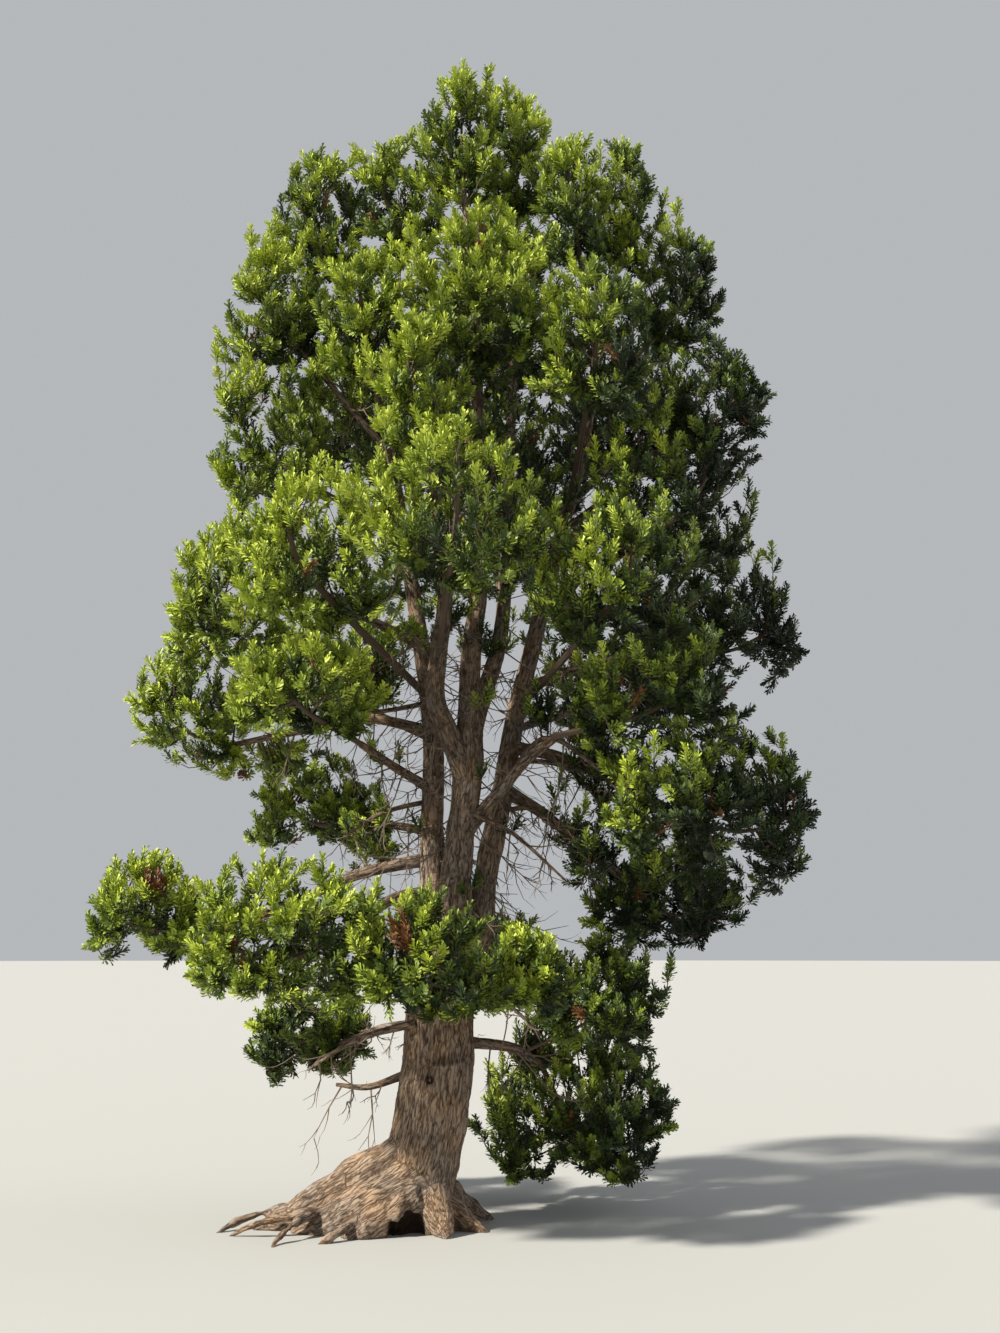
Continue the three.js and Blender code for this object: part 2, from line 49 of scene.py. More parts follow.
# The trunk and the leaders on it: x, y, z and radius
LEADERS = {
    "trunk": [
        (-0.03, 0, -0.45, 0.4), (-0.08, 0, 0, 0.4), (-0.13, 0, 0.45, 0.385), (-0.02, 0, 1, 0.4),
        (0.06, 0, 1.6, 0.39), (0.1, 0, 2.3, 0.37), (0.17, -0.02, 2.9, 0.27), (0.24, -0.05, 3.5, 0.185),
        (0.3, -0.05, 4.2, 0.165), (0.4, -0.05, 5, 0.165), (0.4, -0.02, 5.7, 0.125), (0.42, 0, 6.4, 0.115),
        (0.52, 0, 7.2, 0.095), (0.5, 0, 8.6, 0.08), (0.45, 0, 10.2, 0.06), (0.35, 0, 11.5, 0.042),
        (0.29, 0, 12.3, 0.03),
    ],
    "right_leader": [
        (0.3, 0.12, 2.3, 0.18), (0.52, 0.24, 3.1, 0.145), (0.58, 0.35, 3.7, 0.14), (0.74, 0.42, 4.5, 0.13),
        (0.93, 0.48, 5.6, 0.115), (1.16, 0.5, 6.55, 0.1), (1.45, 0.42, 7.7, 0.085),
        (1.76, 0.3, 8.85, 0.068), (1.97, 0.3, 10.1, 0.052), (2.23, 0.43, 11.35, 0.034),
    ],
    "left_leader": [
        (0.09, 0.1, 2.85, 0.165), (-0.03, 0.33, 3.7, 0.145), (-0.04, 0.45, 4.5, 0.138),
        (-0.04, 0.5, 5.25, 0.125), (-0.12, 0.55, 6, 0.108), (-0.32, 0.58, 7.2, 0.09),
        (-0.55, 0.55, 8.6, 0.074), (-0.76, 0.5, 9.8, 0.058), (-1.28, 0.44, 11.2, 0.038),
    ],
    "front_leader": [
        (0.37, -0.08, 4.8, 0.13), (0.17, -0.17, 5.3, 0.122), (0.02, -0.26, 5.7, 0.112),
        (0.06, -0.42, 6.25, 0.098), (0.13, -0.64, 6.8, 0.086), (0.08, -0.95, 7.55, 0.066),
        (-0.12, -1.2, 8.25, 0.046),
    ],
    "inner_leader": [
        (0.42, 0.02, 5.35, 0.1), (0.59, 0.11, 5.9, 0.098), (0.74, 0.2, 6.45, 0.092),
        (0.81, 0.3, 7.2, 0.082), (0.86, 0.4, 8.6, 0.068), (0.91, 0.45, 10.2, 0.052),
        (0.95, 0.5, 12.15, 0.032),
    ],
}

# The middle of the trunk's foot, and the roots that flare out of it: bearing in degrees from +X,
# reach, rise and thickness
TRUNK_FOOT = np.array([-0.08, 0, 0])
ROOTS = [
    (183, 1.8, 0.76, 0.235), (214, 0.98, 0.56, 0.19), (298, 0.64, 0.52, 0.2), (342, 0.74, 0.34, 0.15),
    (35, 0.9, 0.42, 0.17), (88, 0.85, 0.46, 0.18), (138, 1.05, 0.48, 0.185),
]
ROOT_ARCH = [(0.02, 1, 0.8), (0.35, 0.72, 1), (0.7, 0.25, 0.72)]  # shares of reach, rise and thickness
ROOT_END = (-0.02, 0.045)  # height and radius
HOLLOW = ((-0.19, -0.44, 0.06), (0.19, 0.17, 0.23))  # middle and half sizes of the dark hollow

# The main boughs: the limb, the height where the bough leaves it, the way it goes, both radii
BOUGHS = {
    "low_left_bough": ("left_leader", 3.55, [(-0.45, -0.2, 3.45), (-0.83, -0.85, 3.1)], (0.08, 0.045)),
    "low_left_long_bough": (
        "left_leader", 3.95, [(-0.9, 0.35, 3.75), (-1.8, 0.35, 3.35), (-2.6, -0.05, 3.15)], (0.075, 0.034)),
    "low_left_under_bough": ("trunk", 2.15, [(-0.55, 0.3, 2.05), (-0.95, 0.75, 1.9)], (0.058, 0.034)),
    "low_right_bough": ("trunk", 1.95, [(0.85, 0.25, 1.85), (1.18, 0.6, 1.65)], (0.07, 0.042)),
    "left_drop_bough": ("left_leader", 4.25, [(-0.45, 0.8, 4.35), (-0.85, 1.1, 4.4)], (0.055, 0.036)),
    "left_low_bough": ("left_leader", 4.75, [(-0.43, 0.15, 4.95), (-0.8, -0.45, 5.15)], (0.062, 0.038)),
    "left_mid_bough": (
        "left_leader", 5.45, [(-0.85, 0.48, 5.6), (-1.65, 0.52, 5.45), (-2.4, 0.56, 5.3)], (0.068, 0.034)),
    "left_mid_limb": ("left_leader", 6.5, [(-1, 0.33, 6.85), (-1.75, 0.02, 7)], (0.062, 0.034)),
    "left_shoulder_limb": (
        "left_leader", 8.95, [(-1.15, 0.43, 9.55), (-1.65, 0.37, 10.15)], (0.048, 0.028)),
    "right_arm": (
        "trunk", 4.15, [(0.7, -0.15, 4.6), (1.03, -0.5, 4.95), (1.35, -0.9, 5.15)], (0.088, 0.044)),
    "right_low_bough": (
        "right_leader", 4.75, [(1.27, 0.42, 4.45), (1.85, 0.5, 3.98), (2.3, 0.6, 3.65)], (0.078, 0.04)),
    "right_low_long_bough": (
        "right_leader", 5.25, [(1.5, 0.35, 5.1), (2.25, 0.05, 4.7), (2.9, -0.3, 4.32)], (0.078, 0.038)),
    "right_mid_limb": ("right_leader", 5.95, [(1.9, 0.6, 6.3), (2.85, 0.7, 6.48)], (0.066, 0.038)),
    "right_outer_limb": ("right_leader", 7.9, [(2.1, 0.18, 8.3), (2.75, -0.08, 8.85)], (0.05, 0.03)),
}

# The masses of foliage: the limb, the height where the stem leaves it, the middle, half the spread,
# and how tall the mass is for its spread
MASSES = {
    "top_main": ("trunk", TIP, (0.27, 0, 13), 0.5, 1.95),
    "top_second": ("inner_leader", TIP, (0.97, 0.5, 13), 0.5, 1.95),
    "top_left": ("trunk", 10.1, (-0.54, 0.08, 12.1), 0.54, 1.7),
    "left_top": ("left_leader", TIP, (-1.54, 0.4, 12.1), 0.56, 1.8),
    "right_top": ("right_leader", 10, (1.66, -0.25, 11.9), 0.48, 1.95),
    "right_tip": ("right_leader", TIP, (2.35, 0.48, 12.3), 0.45, 2.2),
    "upper_centre": ("trunk", 9.3, (0.5, -1, 10.3), 0.74, 1.6),
    "upper_left": ("left_leader", 8.5, (-0.8, -0.9, 10.05), 0.6, 1.4),
    "left_shoulder": ("left_shoulder_limb", TIP, (-2.08, 0.3, 10.85), 0.64, 1.3),
    "right_shoulder": ("right_leader", 9.5, (3, 0.4, 11.05), 0.6, 1.6),
    "right_front_top": ("right_leader", 8.3, (1.8, -1.25, 9.6), 0.66, 1.6),
    "right_outer": ("right_outer_limb", TIP, (3.35, -0.25, 9.25), 0.64, 1.25),
    "left_upper_outer": ("left_leader", 7.85, (-2.1, 0.45, 9.15), 0.78, 1.5),
    "front_top": ("front_leader", TIP, (-0.2, -1.5, 8.95), 0.5, 1.85),
    "front_mid": ("front_leader", 6.15, (0.28, -2.1, 7.3), 0.93, 1.12),
    "right_mid": ("right_leader", 7, (2.75, -0.45, 8), 0.82, 1.2),
    "right_mid_low": ("right_leader", 5.7, (1.95, -1.4, 6.75), 0.85, 1.05),
    "right_mid_outer": ("right_mid_limb", TIP, (3.5, 0.65, 6.7), 0.9, 1.15),
    "left_mid_outer": ("left_mid_limb", TIP, (-2.25, -0.25, 6.9), 0.85, 1.2),
    "left_mid": ("left_leader", 5.85, (-1.25, -1.45, 7), 0.8, 1.2),
    "left_low_mid": ("left_low_bough", TIP, (-1.35, -1.35, 5.55), 0.82, 0.72),
    "left_low_outer": ("left_mid_bough", TIP, (-2.95, 0.65, 5.65), 0.74, 1.2),
    "left_low_drop": ("left_drop_bough", TIP, (-1.55, 1.6, 4.6), 0.9, 0.72),
    "right_inner_low": ("right_arm", TIP, (2.35, -1.2, 5.55), 0.85, 0.8),
    "right_low": ("right_low_long_bough", 4.9, (2.6, -1.1, 4.45), 0.78, 1),
    "right_low_outer": ("right_low_long_bough", TIP, (3.42, -0.5, 4.4), 0.8, 1.15),
    "right_low_drop": ("right_low_bough", TIP, (2.6, 0.75, 3.52), 0.96, 0.68),
    "low_left_tip": ("low_left_long_bough", TIP, (-3.15, -0.3, 3.3), 0.62, 1.15),
    "low_left": ("low_left_bough", TIP, (-1.45, -1.4, 3.02), 1.02, 0.86),
    "low_front": ("trunk", 2.35, (0.05, -1.9, 2.8), 0.7, 1.08),
    "low_right_front": ("trunk", 2.15, (1, -1.2, 2.65), 0.48, 1.05),
    "low_right_top": ("low_right_bough", 1.78, (1.85, 0.15, 2.35), 0.74, 0.85),
    "low_right_skirt": ("low_right_bough", TIP, (1.62, 1.2, 1.1), 1.2, 0.8),
    "low_back_left": ("low_left_under_bough", TIP, (-1.55, 1.45, 1.9), 0.78, 0.75),
    "low_back": ("trunk", 2.25, (0.45, 2.3, 2.8), 0.92, 0.82),
    "back_top": ("inner_leader", 9.8, (0.8, 1.75, 11.35), 0.92, 1.55),
    "back_left_upper": ("left_leader", 8.2, (-1.15, 1.95, 10), 0.96, 1.15),
    "back_right_upper": ("right_leader", 8.2, (2.5, 2.05, 9.95), 0.98, 1.15),
    "back_mid": ("inner_leader", 6.9, (0.6, 2.25, 8.8), 1.16, 1.2),
    "back_left_mid": ("left_leader", 5.35, (-1.55, 2.25, 6.55), 1.06, 0.95),
    "back_right_mid": ("right_leader", 5.45, (2.4, 2.4, 6.5), 1.08, 0.95),
}
DEPTH_SHARE = 0.92
FIRST_SEED = 11

# The rule of a mass: its stem, and the sprays dealt over its skin
LIFT = 0.55
STEM_GIRTH = 0.016
STEM_LEAST = 0.024
STEM_TAPER = 0.55
STEM_STRAIGHT = 0.06
STEM_DROP = 0.25
STEM_REACH = 0.62
FEWEST = 5
SPRAY_EVERY = 0.125
LOWEST = -0.7
HIGHEST = 0.75
ENTRY = 0.85
ENTRY_STEP = 0.02
FIRST_FOOT = 0.3
LATEST_ENTRY = 0.6
LAST_FOOT = 0.97
MOST_TURN = 6
FEET = 40
SPRAY_LENGTH = 1.0
UPSWEEP = 0.75
LEAST_WIDE = 0.85
TWIG_BEYOND = 1.3
TWIG_GIRTH = (0.45, 0.004)
TWIG_TAPER = 0.6


# Curves and numbers

PRIMES = (374761393, 668265263, 974634777)
MIXERS = (1274126177, 2246822519)
WORD = 2**32


def chance(seed, index, use):
    """A number from 0 to 1 that depends only on the three whole numbers given."""
    h = sum(n * prime for n, prime in zip((seed, index, use), PRIMES)) % WORD
    h = (h ^ (h >> 13)) * MIXERS[0] % WORD
    h = (h ^ (h >> 16)) * MIXERS[1] % WORD
    return (h ^ (h >> 15)) / WORD


def unit(v):
    """Vectors of length one, along the last axis."""
    v = np.asarray(v, float)
    return v / np.maximum(np.linalg.norm(v, axis=-1, keepdims=True), 1e-12)


def turned_up(run, lift=LIFT):
    """A direction, turned up a little as twigs do."""
    return unit(unit(run) + lift * UP)


STEEP = 0.8  # the upward share from which a line counts as steep


def across(directions, steady=None):
    """Two directions at right angles to each one and to each other. A steady line stops them turning."""
    directions = np.atleast_2d(directions)
    steep = np.abs((directions if steady is None else steady)[:, 2:3]) > STEEP
    first = unit(np.cross(np.where(steep, [[1.0, 0, 0]], UP[None]), directions))
    return first, np.cross(directions, first)


def around(turn, first, second):
    """Directions round a line, by angles and two directions across it."""
    return np.cos(turn)[..., None] * first + np.sin(turn)[..., None] * second


def full_turn(number):
    """Angles all round, evenly spaced."""
    return 2 * np.pi * np.arange(number) / number


BESIDE = 1e-4  # the direction of a limb is taken between two places this far to each side
LENGTH_STEPS = 200


class Limb:
    """A smooth curve through rows of x, y, z and radius."""

    def __init__(self, rows):
        rows = np.array(rows, float)
        self.last = len(rows) - 1
        self.radii = rows[:, 3]
        spine = rows[:, :3]
        self.spine = np.vstack([2 * spine[0] - spine[1], spine, 2 * spine[-1] - spine[-2]])

    def point(self, t):
        place = np.clip(t, 0, 1) * self.last
        i = np.minimum(np.floor(place).astype(int), self.last - 1)
        w = (place - i)[..., None]
        before, a, b, after = (self.spine[i + k] for k in range(4))
        out, into = (b - before) / 2, (after - a) / 2
        return a + w * (out + w * (3 * (b - a) - 2 * out - into + w * (2 * (a - b) + out + into)))

    def tangent(self, t):
        t = np.asarray(t, float)
        return unit(self.point(np.minimum(t + BESIDE, 1)) - self.point(np.maximum(t - BESIDE, 0)))

    def radius(self, t):
        return np.interp(np.minimum(t, 1) * self.last, np.arange(self.last + 1), self.radii)

    def length(self):
        return np.linalg.norm(np.diff(self.point(np.linspace(0, 1, LENGTH_STEPS)), axis=0), axis=1).sum()


LOOK_UP_STEPS = 400


def place_on(limb, height):
    """Where along a limb it reaches a height, or its end."""
    if height is TIP:
        return 1.0
    t = np.arange(LOOK_UP_STEPS) / LOOK_UP_STEPS
    return t[np.argmin(np.abs(limb.point(t)[:, 2] - height))]


limbs = {name: Limb(rows) for name, rows in LEADERS.items()}
for name, (on, leaves, way, (foot, tip)) in BOUGHS.items():
    points = [limbs[on].point(place_on(limbs[on], leaves)), *way]
    limbs[name] = Limb([(*p, foot + (tip - foot) * i / len(way)) for i, p in enumerate(points)])


# Meshes from arrays


class Heap:
    """Points and triangles that are gathered into one mesh, each triangle with the number of its look."""

    def __init__(self):
        self.points, self.faces, self.looks = [], [], []
        self.count = self.triangles = 0

    def add(self, points, faces, look=0):
        self.points.append(points)
        self.faces.append(faces + self.count)
        self.looks.append(np.broadcast_to(look, len(faces)))
        self.count += len(points)
        self.triangles += len(faces)

    def loose(self, points, looks, each):
        """Adds triangles that share no points, so many of each look."""
        self.add(points, np.arange(len(points)).reshape(-1, 3), np.repeat(looks, each))


def lay_on(mesh, key, values):
    """Stores a number or a vector for each of a mesh's points."""
    kind, field = ("FLOAT", "value") if values.ndim == 1 else ("FLOAT_VECTOR", "vector")
    mesh.attributes.new(key, kind, "POINT").data.foreach_set(field, values.astype(np.float32).ravel())


def object_from(name, heap, materials, smooth=False, values=None):
    """A mesh object from a heap, with numbers or vectors for its points."""
    points, faces = np.vstack(heap.points), np.vstack(heap.faces)
    mesh = bpy.data.meshes.new(name)
    mesh.vertices.add(len(points))
    mesh.vertices.foreach_set("co", points.astype(np.float32).ravel())
    mesh.loops.add(faces.size)
    mesh.loops.foreach_set("vertex_index", faces.astype(np.int32).ravel())
    mesh.polygons.add(len(faces))
    mesh.polygons.foreach_set("loop_start", np.arange(0, faces.size, 3, dtype=np.int32))
    mesh.polygons.foreach_set("material_index", np.concatenate(heap.looks).astype(np.int32))
    mesh.polygons.foreach_set("use_smooth", np.full(len(faces), smooth))
    for key, value in (values or {}).items():
        lay_on(mesh, key, value)
    for material in materials:
        mesh.materials.append(material)
    mesh.update()
    mesh.validate()
    piece = bpy.data.objects.new(name, mesh)
    bpy.context.scene.collection.objects.link(piece)
    return piece


def tube_faces(rings, sides):
    """The triangles of a tube whose points are given ring by ring, with both its ends closed."""
    ring, side = np.meshgrid(np.arange(rings - 1), np.arange(sides), indexing="ij")
    a = (ring * sides + side).ravel()
    b = (ring * sides + (side + 1) % sides).ravel()
    walls = np.concatenate([np.stack([a, b, b + sides], 1), np.stack([a, b + sides, a + sides], 1)])
    fan = np.arange(1, sides - 1)
    foot = np.stack([np.zeros_like(fan), fan + 1, fan], 1)
    head = np.stack([np.zeros_like(fan), fan, fan + 1], 1) + (rings - 1) * sides
    return np.concatenate([walls, foot, head])


def slim_tubes(heap, centres, radii, sides=3, look=0):
    """Adds many tubes at once: centres has one row of points for each tube, and radii goes with it."""
    number, rings = centres.shape[:2]
    if not number:
        return
    along = unit(np.gradient(centres, axis=1)).reshape(-1, 3)
    steady = np.repeat(unit(centres[:, -1] - centres[:, 0]), rings, axis=0)
    first, second = across(along, steady)
    offset = around(full_turn(sides), first[:, None], second[:, None])
    points = centres.reshape(-1, 1, 3) + radii.reshape(-1, 1, 1) * offset
    faces = tube_faces(rings, sides)
    shift = (np.arange(number) * rings * sides)[:, None, None]
    heap.add(points.reshape(-1, 3), (faces[None] + shift).reshape(-1, 3), look)


# Bark

PLATE_WIDE = 0.075  # a plate of bark on the trunk
PLATE_TALL = 0.3
PLATE_GROWTH = 0.4  # how far plates shrink with the limb's radius
FULL_RADIUS = 0.4  # the radius where plates have their full size
RELIEF_SHARE = 0.07  # the depth of the furrows for the limb's radius
RELIEF_LEAST, RELIEF_MOST = 0.001, 0.024
FURROW = 0.2  # how wide furrows are
WANDER, WANDER_SCALE = 0.5, 0.7  # how far the furrows wander, and how quickly
CRACK_SCALE = 1.9  # how much closer the cracks in the plates lie than the furrows
CRACK_SHIFT = Vector((5, 1, 9))
FLAKE_SCALE = (3.4, 3.4, 2.6)
BARK_SHARES = (0.45, 0.3, 0.25)  # what furrows, cracks and flakes have in the height
LIMB_APART = 17  # how far apart the patterns of two limbs are taken
GRAIN = 0.2  # how far the fine pattern is stretched along a limb
LUMPS, LUMP_SCALE = 0.07, 0.22  # how far a limb swells for its radius, and how often for its plates
TUBE_LEVEL, SKIN_LEVEL = 0.7, 0.6  # the height of the bark that lies on the limb's own radius
COLLAR, COLLAR_REACH = 0.45, 1.3  # how much thicker a limb's foot is, and how far up for its radius
LEAST_RINGS = 6
noise.seed_set(FIRST_SEED)  # so that the furrows wander the same way in every run


def bark_height(cells):
    """Heights from 0, in a furrow, to 1, on a plate. Cells are points measured in plates."""
    heights = np.empty(len(cells))
    for i, cell in enumerate(cells):
        p = Vector(cell)
        bent = p + WANDER * noise.noise_vector(WANDER_SCALE * p)
        furrow = min(1.0, abs(noise.noise(bent)) / FURROW)
        crack = min(1.0, abs(noise.noise(CRACK_SCALE * bent + CRACK_SHIFT)) / FURROW)
        flakes = 0.5 + 0.5 * noise.noise(Vector([scale * x for scale, x in zip(FLAKE_SCALE, p)]))
        parts = furrow * (2 - furrow), crack, flakes
        heights[i] = sum(share * part for share, part in zip(BARK_SHARES, parts))
    return heights


def bumps(points, *scales):
    """Noise at points. A second, finer scale adds half as much of its own."""
    return np.array([
        sum(noise.noise(Vector(p) * scale) / n for n, scale in enumerate(scales, 1)) for p in points])


def limb_frames(limb, t):
    """Steady directions across a limb at places along it, which don't twist."""
    along = limb.tangent(t)
    first = np.empty_like(along)
    first[0] = across(along[:1])[0][0]
    for i in range(1, len(t)):
        first[i] = unit(first[i - 1] - along[i] * (first[i - 1] @ along[i]))
    return along, first, np.cross(along, first)


def plate_size(radius):
    return (radius / FULL_RADIUS) ** PLATE_GROWTH


def relief_depth(radius):
    return np.minimum(RELIEF_SHARE * radius + RELIEF_LEAST, RELIEF_MOST)


def collar(s, radius):
    """How much thicker a limb is at a distance s from where it leaves another."""
    return 1 + COLLAR * np.exp(-s / (COLLAR_REACH * radius))


def run_along(centre):
    """The distance from the first of a line's points to each of them."""
    return np.concatenate([[0], np.cumsum(np.linalg.norm(np.diff(centre, axis=0), axis=1))])


def plate_cells(x, y, run, radius, middling, number):
    """Points on a limb, given across it and along it, measured in plates."""
    wide = PLATE_WIDE * plate_size(radius)
    tall = PLATE_TALL * plate_size(middling)
    return np.stack([x / wide + LIMB_APART * number, y / wide, run / tall], -1)


def ring_places(limb, first, last, step):
    return np.linspace(first, last, max(LEAST_RINGS, math.ceil(limb.length() * (last - first) / step)))


def bark_tube(heap, heights, grains, limb, first, sides, step, seed, flare):
    """A limb with relief, from the place first to its end."""
    t = ring_places(limb, first, 1, step)
    _, e1, e2 = limb_frames(limb, t)
    centre = limb.point(t)
    run = run_along(centre)
    radius = limb.radius(t) * (collar(run, limb.radius(first)) if flare else 1)
    radius, turn = radius[:, None], full_turn(sides)
    x, y = radius * np.cos(turn), radius * np.sin(turn)
    run = np.broadcast_to(run[:, None], x.shape)
    cells = plate_cells(x, y, run, radius, radius.mean(), seed)
    height = bark_height(cells.reshape(-1, 3)).reshape(x.shape)
    lumps = bumps(cells.reshape(-1, 3), LUMP_SCALE).reshape(x.shape)
    swell = relief_depth(radius) * (height - TUBE_LEVEL) + LUMPS * radius * lumps
    points = centre[:, None] + (radius + swell)[..., None] * around(turn, e1[:, None], e2[:, None])
    heap.add(points.reshape(-1, 3), tube_faces(len(t), sides))
    heights.append(height.ravel())
    grains.append(np.stack([x + seed, y + seed, GRAIN * run], -1).reshape(-1, 3))


# The low part of the wood, from the roots to above the forks, is one skin

SKIN_TOP = {"trunk": 5.2, "right_leader": 5.2, "left_leader": 5.2, "front_leader": 5.35}
SKIN_VOXEL = 0.018
SKIN_LAP = 0.3  # how far a limb's own tube starts below the skin's end
SKIN_SLIM = 0.86  # how slim the skin gets under that tube
SKIN_SMOOTHING = {"factor": 0.5, "iterations": 14}
SKIN_TUBES = {"limb": (28, 0.05), "root": (20, 0.04), "fold": (14, 0.04)}  # sides, and ring to ring
PATTERN_PLACES = 160  # the places along each limb that its pattern is laid from
PATTERN_FADE = 0.03  # a limb's pattern fades over this distance from its skin
PATTERN_LEAST = 0.03  # and counts for nothing from this share on
PATTERN_DEEPEST = -0.02
AT_ONCE = 20000  # points that are measured in one go
SKIN_LUMPS, SKIN_LUMP_SCALES = 0.02, (2.6, 6)
FULL_LUMPS = 0.01  # the depth of relief from which the skin has its lumps in full
FOLDS_TOP = 1.9  # up to this height the trunk's foot has upright folds
FOLD = 0.04
FOLD_SCALE = (7, 7, 1.6)
RIM, RAGGED, RAGGED_SCALES = 0.8, 0.9, (5, 13)  # the hollow's rim: its size, how ragged, how finely
BROW = {"at": (0.16, 1.7), "half": 0.26, "bow": 0.07, "deep": 0.028}
KNOT = {"at": (0.0, 1.55), "radius": 0.042, "deep": 0.03}
# The hollow's painted shade: its relief value, which the bark takes as its darkest colour
HOLLOW_PAINTED_SHADE = -0.6  # the relief's value in the hollow

# What stands at the trunk's foot besides the roots of the solid: the gnarled wall under the big left
# root, and slender roots that lie on the ground. Rows of x, y, z and radius
FOOT_FOLDS = [
    [(-0.2, -0.1, 0.5, 0.33), (-0.62, -0.2, 0.27, 0.29), (-1.05, -0.2, 0.04, 0.24),
     (-1.4, -0.15, -0.1, 0.18)],
    [(-0.2, -0.22, 0.36, 0.26), (-0.5, -0.4, 0.14, 0.2), (-0.85, -0.5, -0.04, 0.13)],
    [(-0.3, -0.12, 0.82, 0.16), (-0.62, -0.16, 0.62, 0.17), (-0.95, -0.1, 0.4, 0.13)],
]
SURFACE_ROOTS = [
    [(-0.9, -0.25, 0.28, 0.07), (-1.35, -0.42, 0.2, 0.052), (-1.75, -0.5, 0.14, 0.042),
     (-2.1, -0.42, -0.02, 0.03)],
    [(-1.35, -0.1, 0.22, 0.06), (-1.7, 0, 0.17, 0.048), (-2.05, -0.12, 0.08, 0.038),
     (-2.25, -0.3, -0.02, 0.03)],
    [(-1.2, -0.38, 0.2, 0.05), (-1.38, -0.62, 0.15, 0.04), (-1.5, -0.85, 0.04, 0.034),
     (-1.52, -1, -0.02, 0.025)],
    [(-0.7, -0.4, 0.2, 0.06), (-0.85, -0.65, 0.11, 0.048), (-1.1, -0.85, -0.02, 0.034)],
]


def root_limb(bearing, reach, rise, thick):
    """A root of the flare, from its row in ROOTS."""
    out = np.array([math.cos(math.radians(bearing)), math.sin(math.radians(bearing)), 0])
    rows = []
    for along, high, wide in ROOT_ARCH:
        rows.append((*(TRUNK_FOOT + along * reach * out + high * rise * UP), wide * thick))
    return Limb([*rows, (*(TRUNK_FOOT + reach * out + ROOT_END[0] * UP), ROOT_END[1])])


def plain_tube(heap, limb, last, kind):
    """A limb without relief up to the place last, slimmer there if another tube takes it up."""
    sides, step = SKIN_TUBES[kind]
    t = ring_places(limb, 0, last, step)
    _, e1, e2 = limb_frames(limb, t)
    centre = limb.point(t)
    radius = limb.radius(t)
    if kind == "limb":
        to_end = np.linalg.norm(centre - centre[-1], axis=1)
        radius = radius * np.interp(to_end, [0, SKIN_LAP], [SKIN_SLIM, 1])
    points = centre[:, None] + radius[:, None, None] * around(full_turn(sides), e1[:, None], e2[:, None])
    heap.add(points.reshape(-1, 3), tube_faces(len(t), sides))


def applied(piece, *modifiers):
    """The piece's mesh with modifiers applied, each given as its type and settings."""
    for kind, settings in modifiers:
        modifier = piece.modifiers.new(kind.lower(), kind)
        for key, value in settings.items():
            setattr(modifier, key, value)
    seen = piece.evaluated_get(bpy.context.evaluated_depsgraph_get())
    mesh = bpy.data.meshes.new_from_object(seen)
    piece.modifiers.clear()
    piece.data = mesh
    return mesh


def coordinates(mesh, of="vertices", key="co"):
    values = np.empty(len(getattr(mesh, of)) * 3, np.float32)
    getattr(mesh, of).foreach_get(key, values)
    return values.reshape(-1, 3).astype(float)


def skin_pattern(points, parts):
    """The bark's height, depth and grain. Each limb lays its own on what is near it, and they blend."""
    total, height, depth, strongest = np.zeros((4, len(points)))
    grain = np.zeros((len(points), 3))
    for number, (limb, last) in enumerate(parts):
        t = np.linspace(0, last, PATTERN_PLACES)
        centre, radii = limb.point(t), limb.radius(t)
        frames = limb_frames(limb, t)
        gap, nearest = np.empty(len(points)), np.empty(len(points), int)
        for first in range(0, len(points), AT_ONCE):
            some = slice(first, first + AT_ONCE)
            far = np.linalg.norm(points[some, None] - centre[None], axis=2)
            nearest[some] = far.argmin(1)
            gap[some] = far.min(1) - radii[nearest[some]]
        weight = np.exp(-np.maximum(gap, PATTERN_DEEPEST) / PATTERN_FADE)
        here = weight > PATTERN_LEAST
        k, share = nearest[here], weight[here]
        off = points[here] - centre[k]
        up, x, y = (np.einsum("ij,ij->i", off, way[k]) for way in frames)
        run = run_along(centre)[k] + up
        height[here] += share * bark_height(plate_cells(x, y, run, radii[k], radii.mean(), number))
        depth[here] += share * relief_depth(radii[k])
        total[here] += share
        mine = share > strongest[here]
        grain[np.flatnonzero(here)[mine]] = np.stack([x + number, y, GRAIN * run], 1)[mine]
        strongest = np.maximum(strongest, weight)
    total = np.maximum(total, 1e-9)
    return height / total, depth / total, grain


def low_skin(material):
    """The trunk, its roots and the forks in one mesh, with relief, brow, knot and hollow."""
    parts = [(limbs[name], place_on(limbs[name], top), "limb") for name, top in SKIN_TOP.items()]
    parts += [(root_limb(*row), 1, "root") for row in ROOTS]
    parts += [(Limb(rows), 1, "fold") for rows in FOOT_FOLDS + SURFACE_ROOTS]
    heap = Heap()
    for part in parts:
        plain_tube(heap, *part)
    piece = object_from("trunk_and_forks", heap, [material])
    remesh = {"mode": "VOXEL", "voxel_size": SKIN_VOXEL}
    mesh = applied(piece, ("REMESH", remesh), ("SMOOTH", SKIN_SMOOTHING))
    points, normals = coordinates(mesh), coordinates(mesh, key="normal")
    height, depth, grain = skin_pattern(points, [(limb, last) for limb, last, _ in parts])
    lumps = bumps(points, *SKIN_LUMP_SCALES)
    folds = bumps(points * FOLD_SCALE, 1)
    low = np.clip(1 - points[:, 2] / FOLDS_TOP, 0, 1)
    lumps = SKIN_LUMPS * lumps * np.minimum(1, depth / FULL_LUMPS)
    points += normals * (depth * (height - SKIN_LEVEL) + lumps)[:, None]
    points += normals * (FOLD * folds * low)[:, None]
    carve_brow(points, height)
    carve_knot(points, height)
    carve_hollow(points, height)
    mesh.vertices.foreach_set("co", points.astype(np.float32).ravel())
    lay_on(mesh, "relief", height)
    lay_on(mesh, "grain", grain)
    cut_flat(mesh)
    mesh.polygons.foreach_set("use_smooth", np.ones(len(mesh.polygons), bool))
    mesh.materials.clear()
    mesh.materials.append(material)
    mesh.update()
    return piece


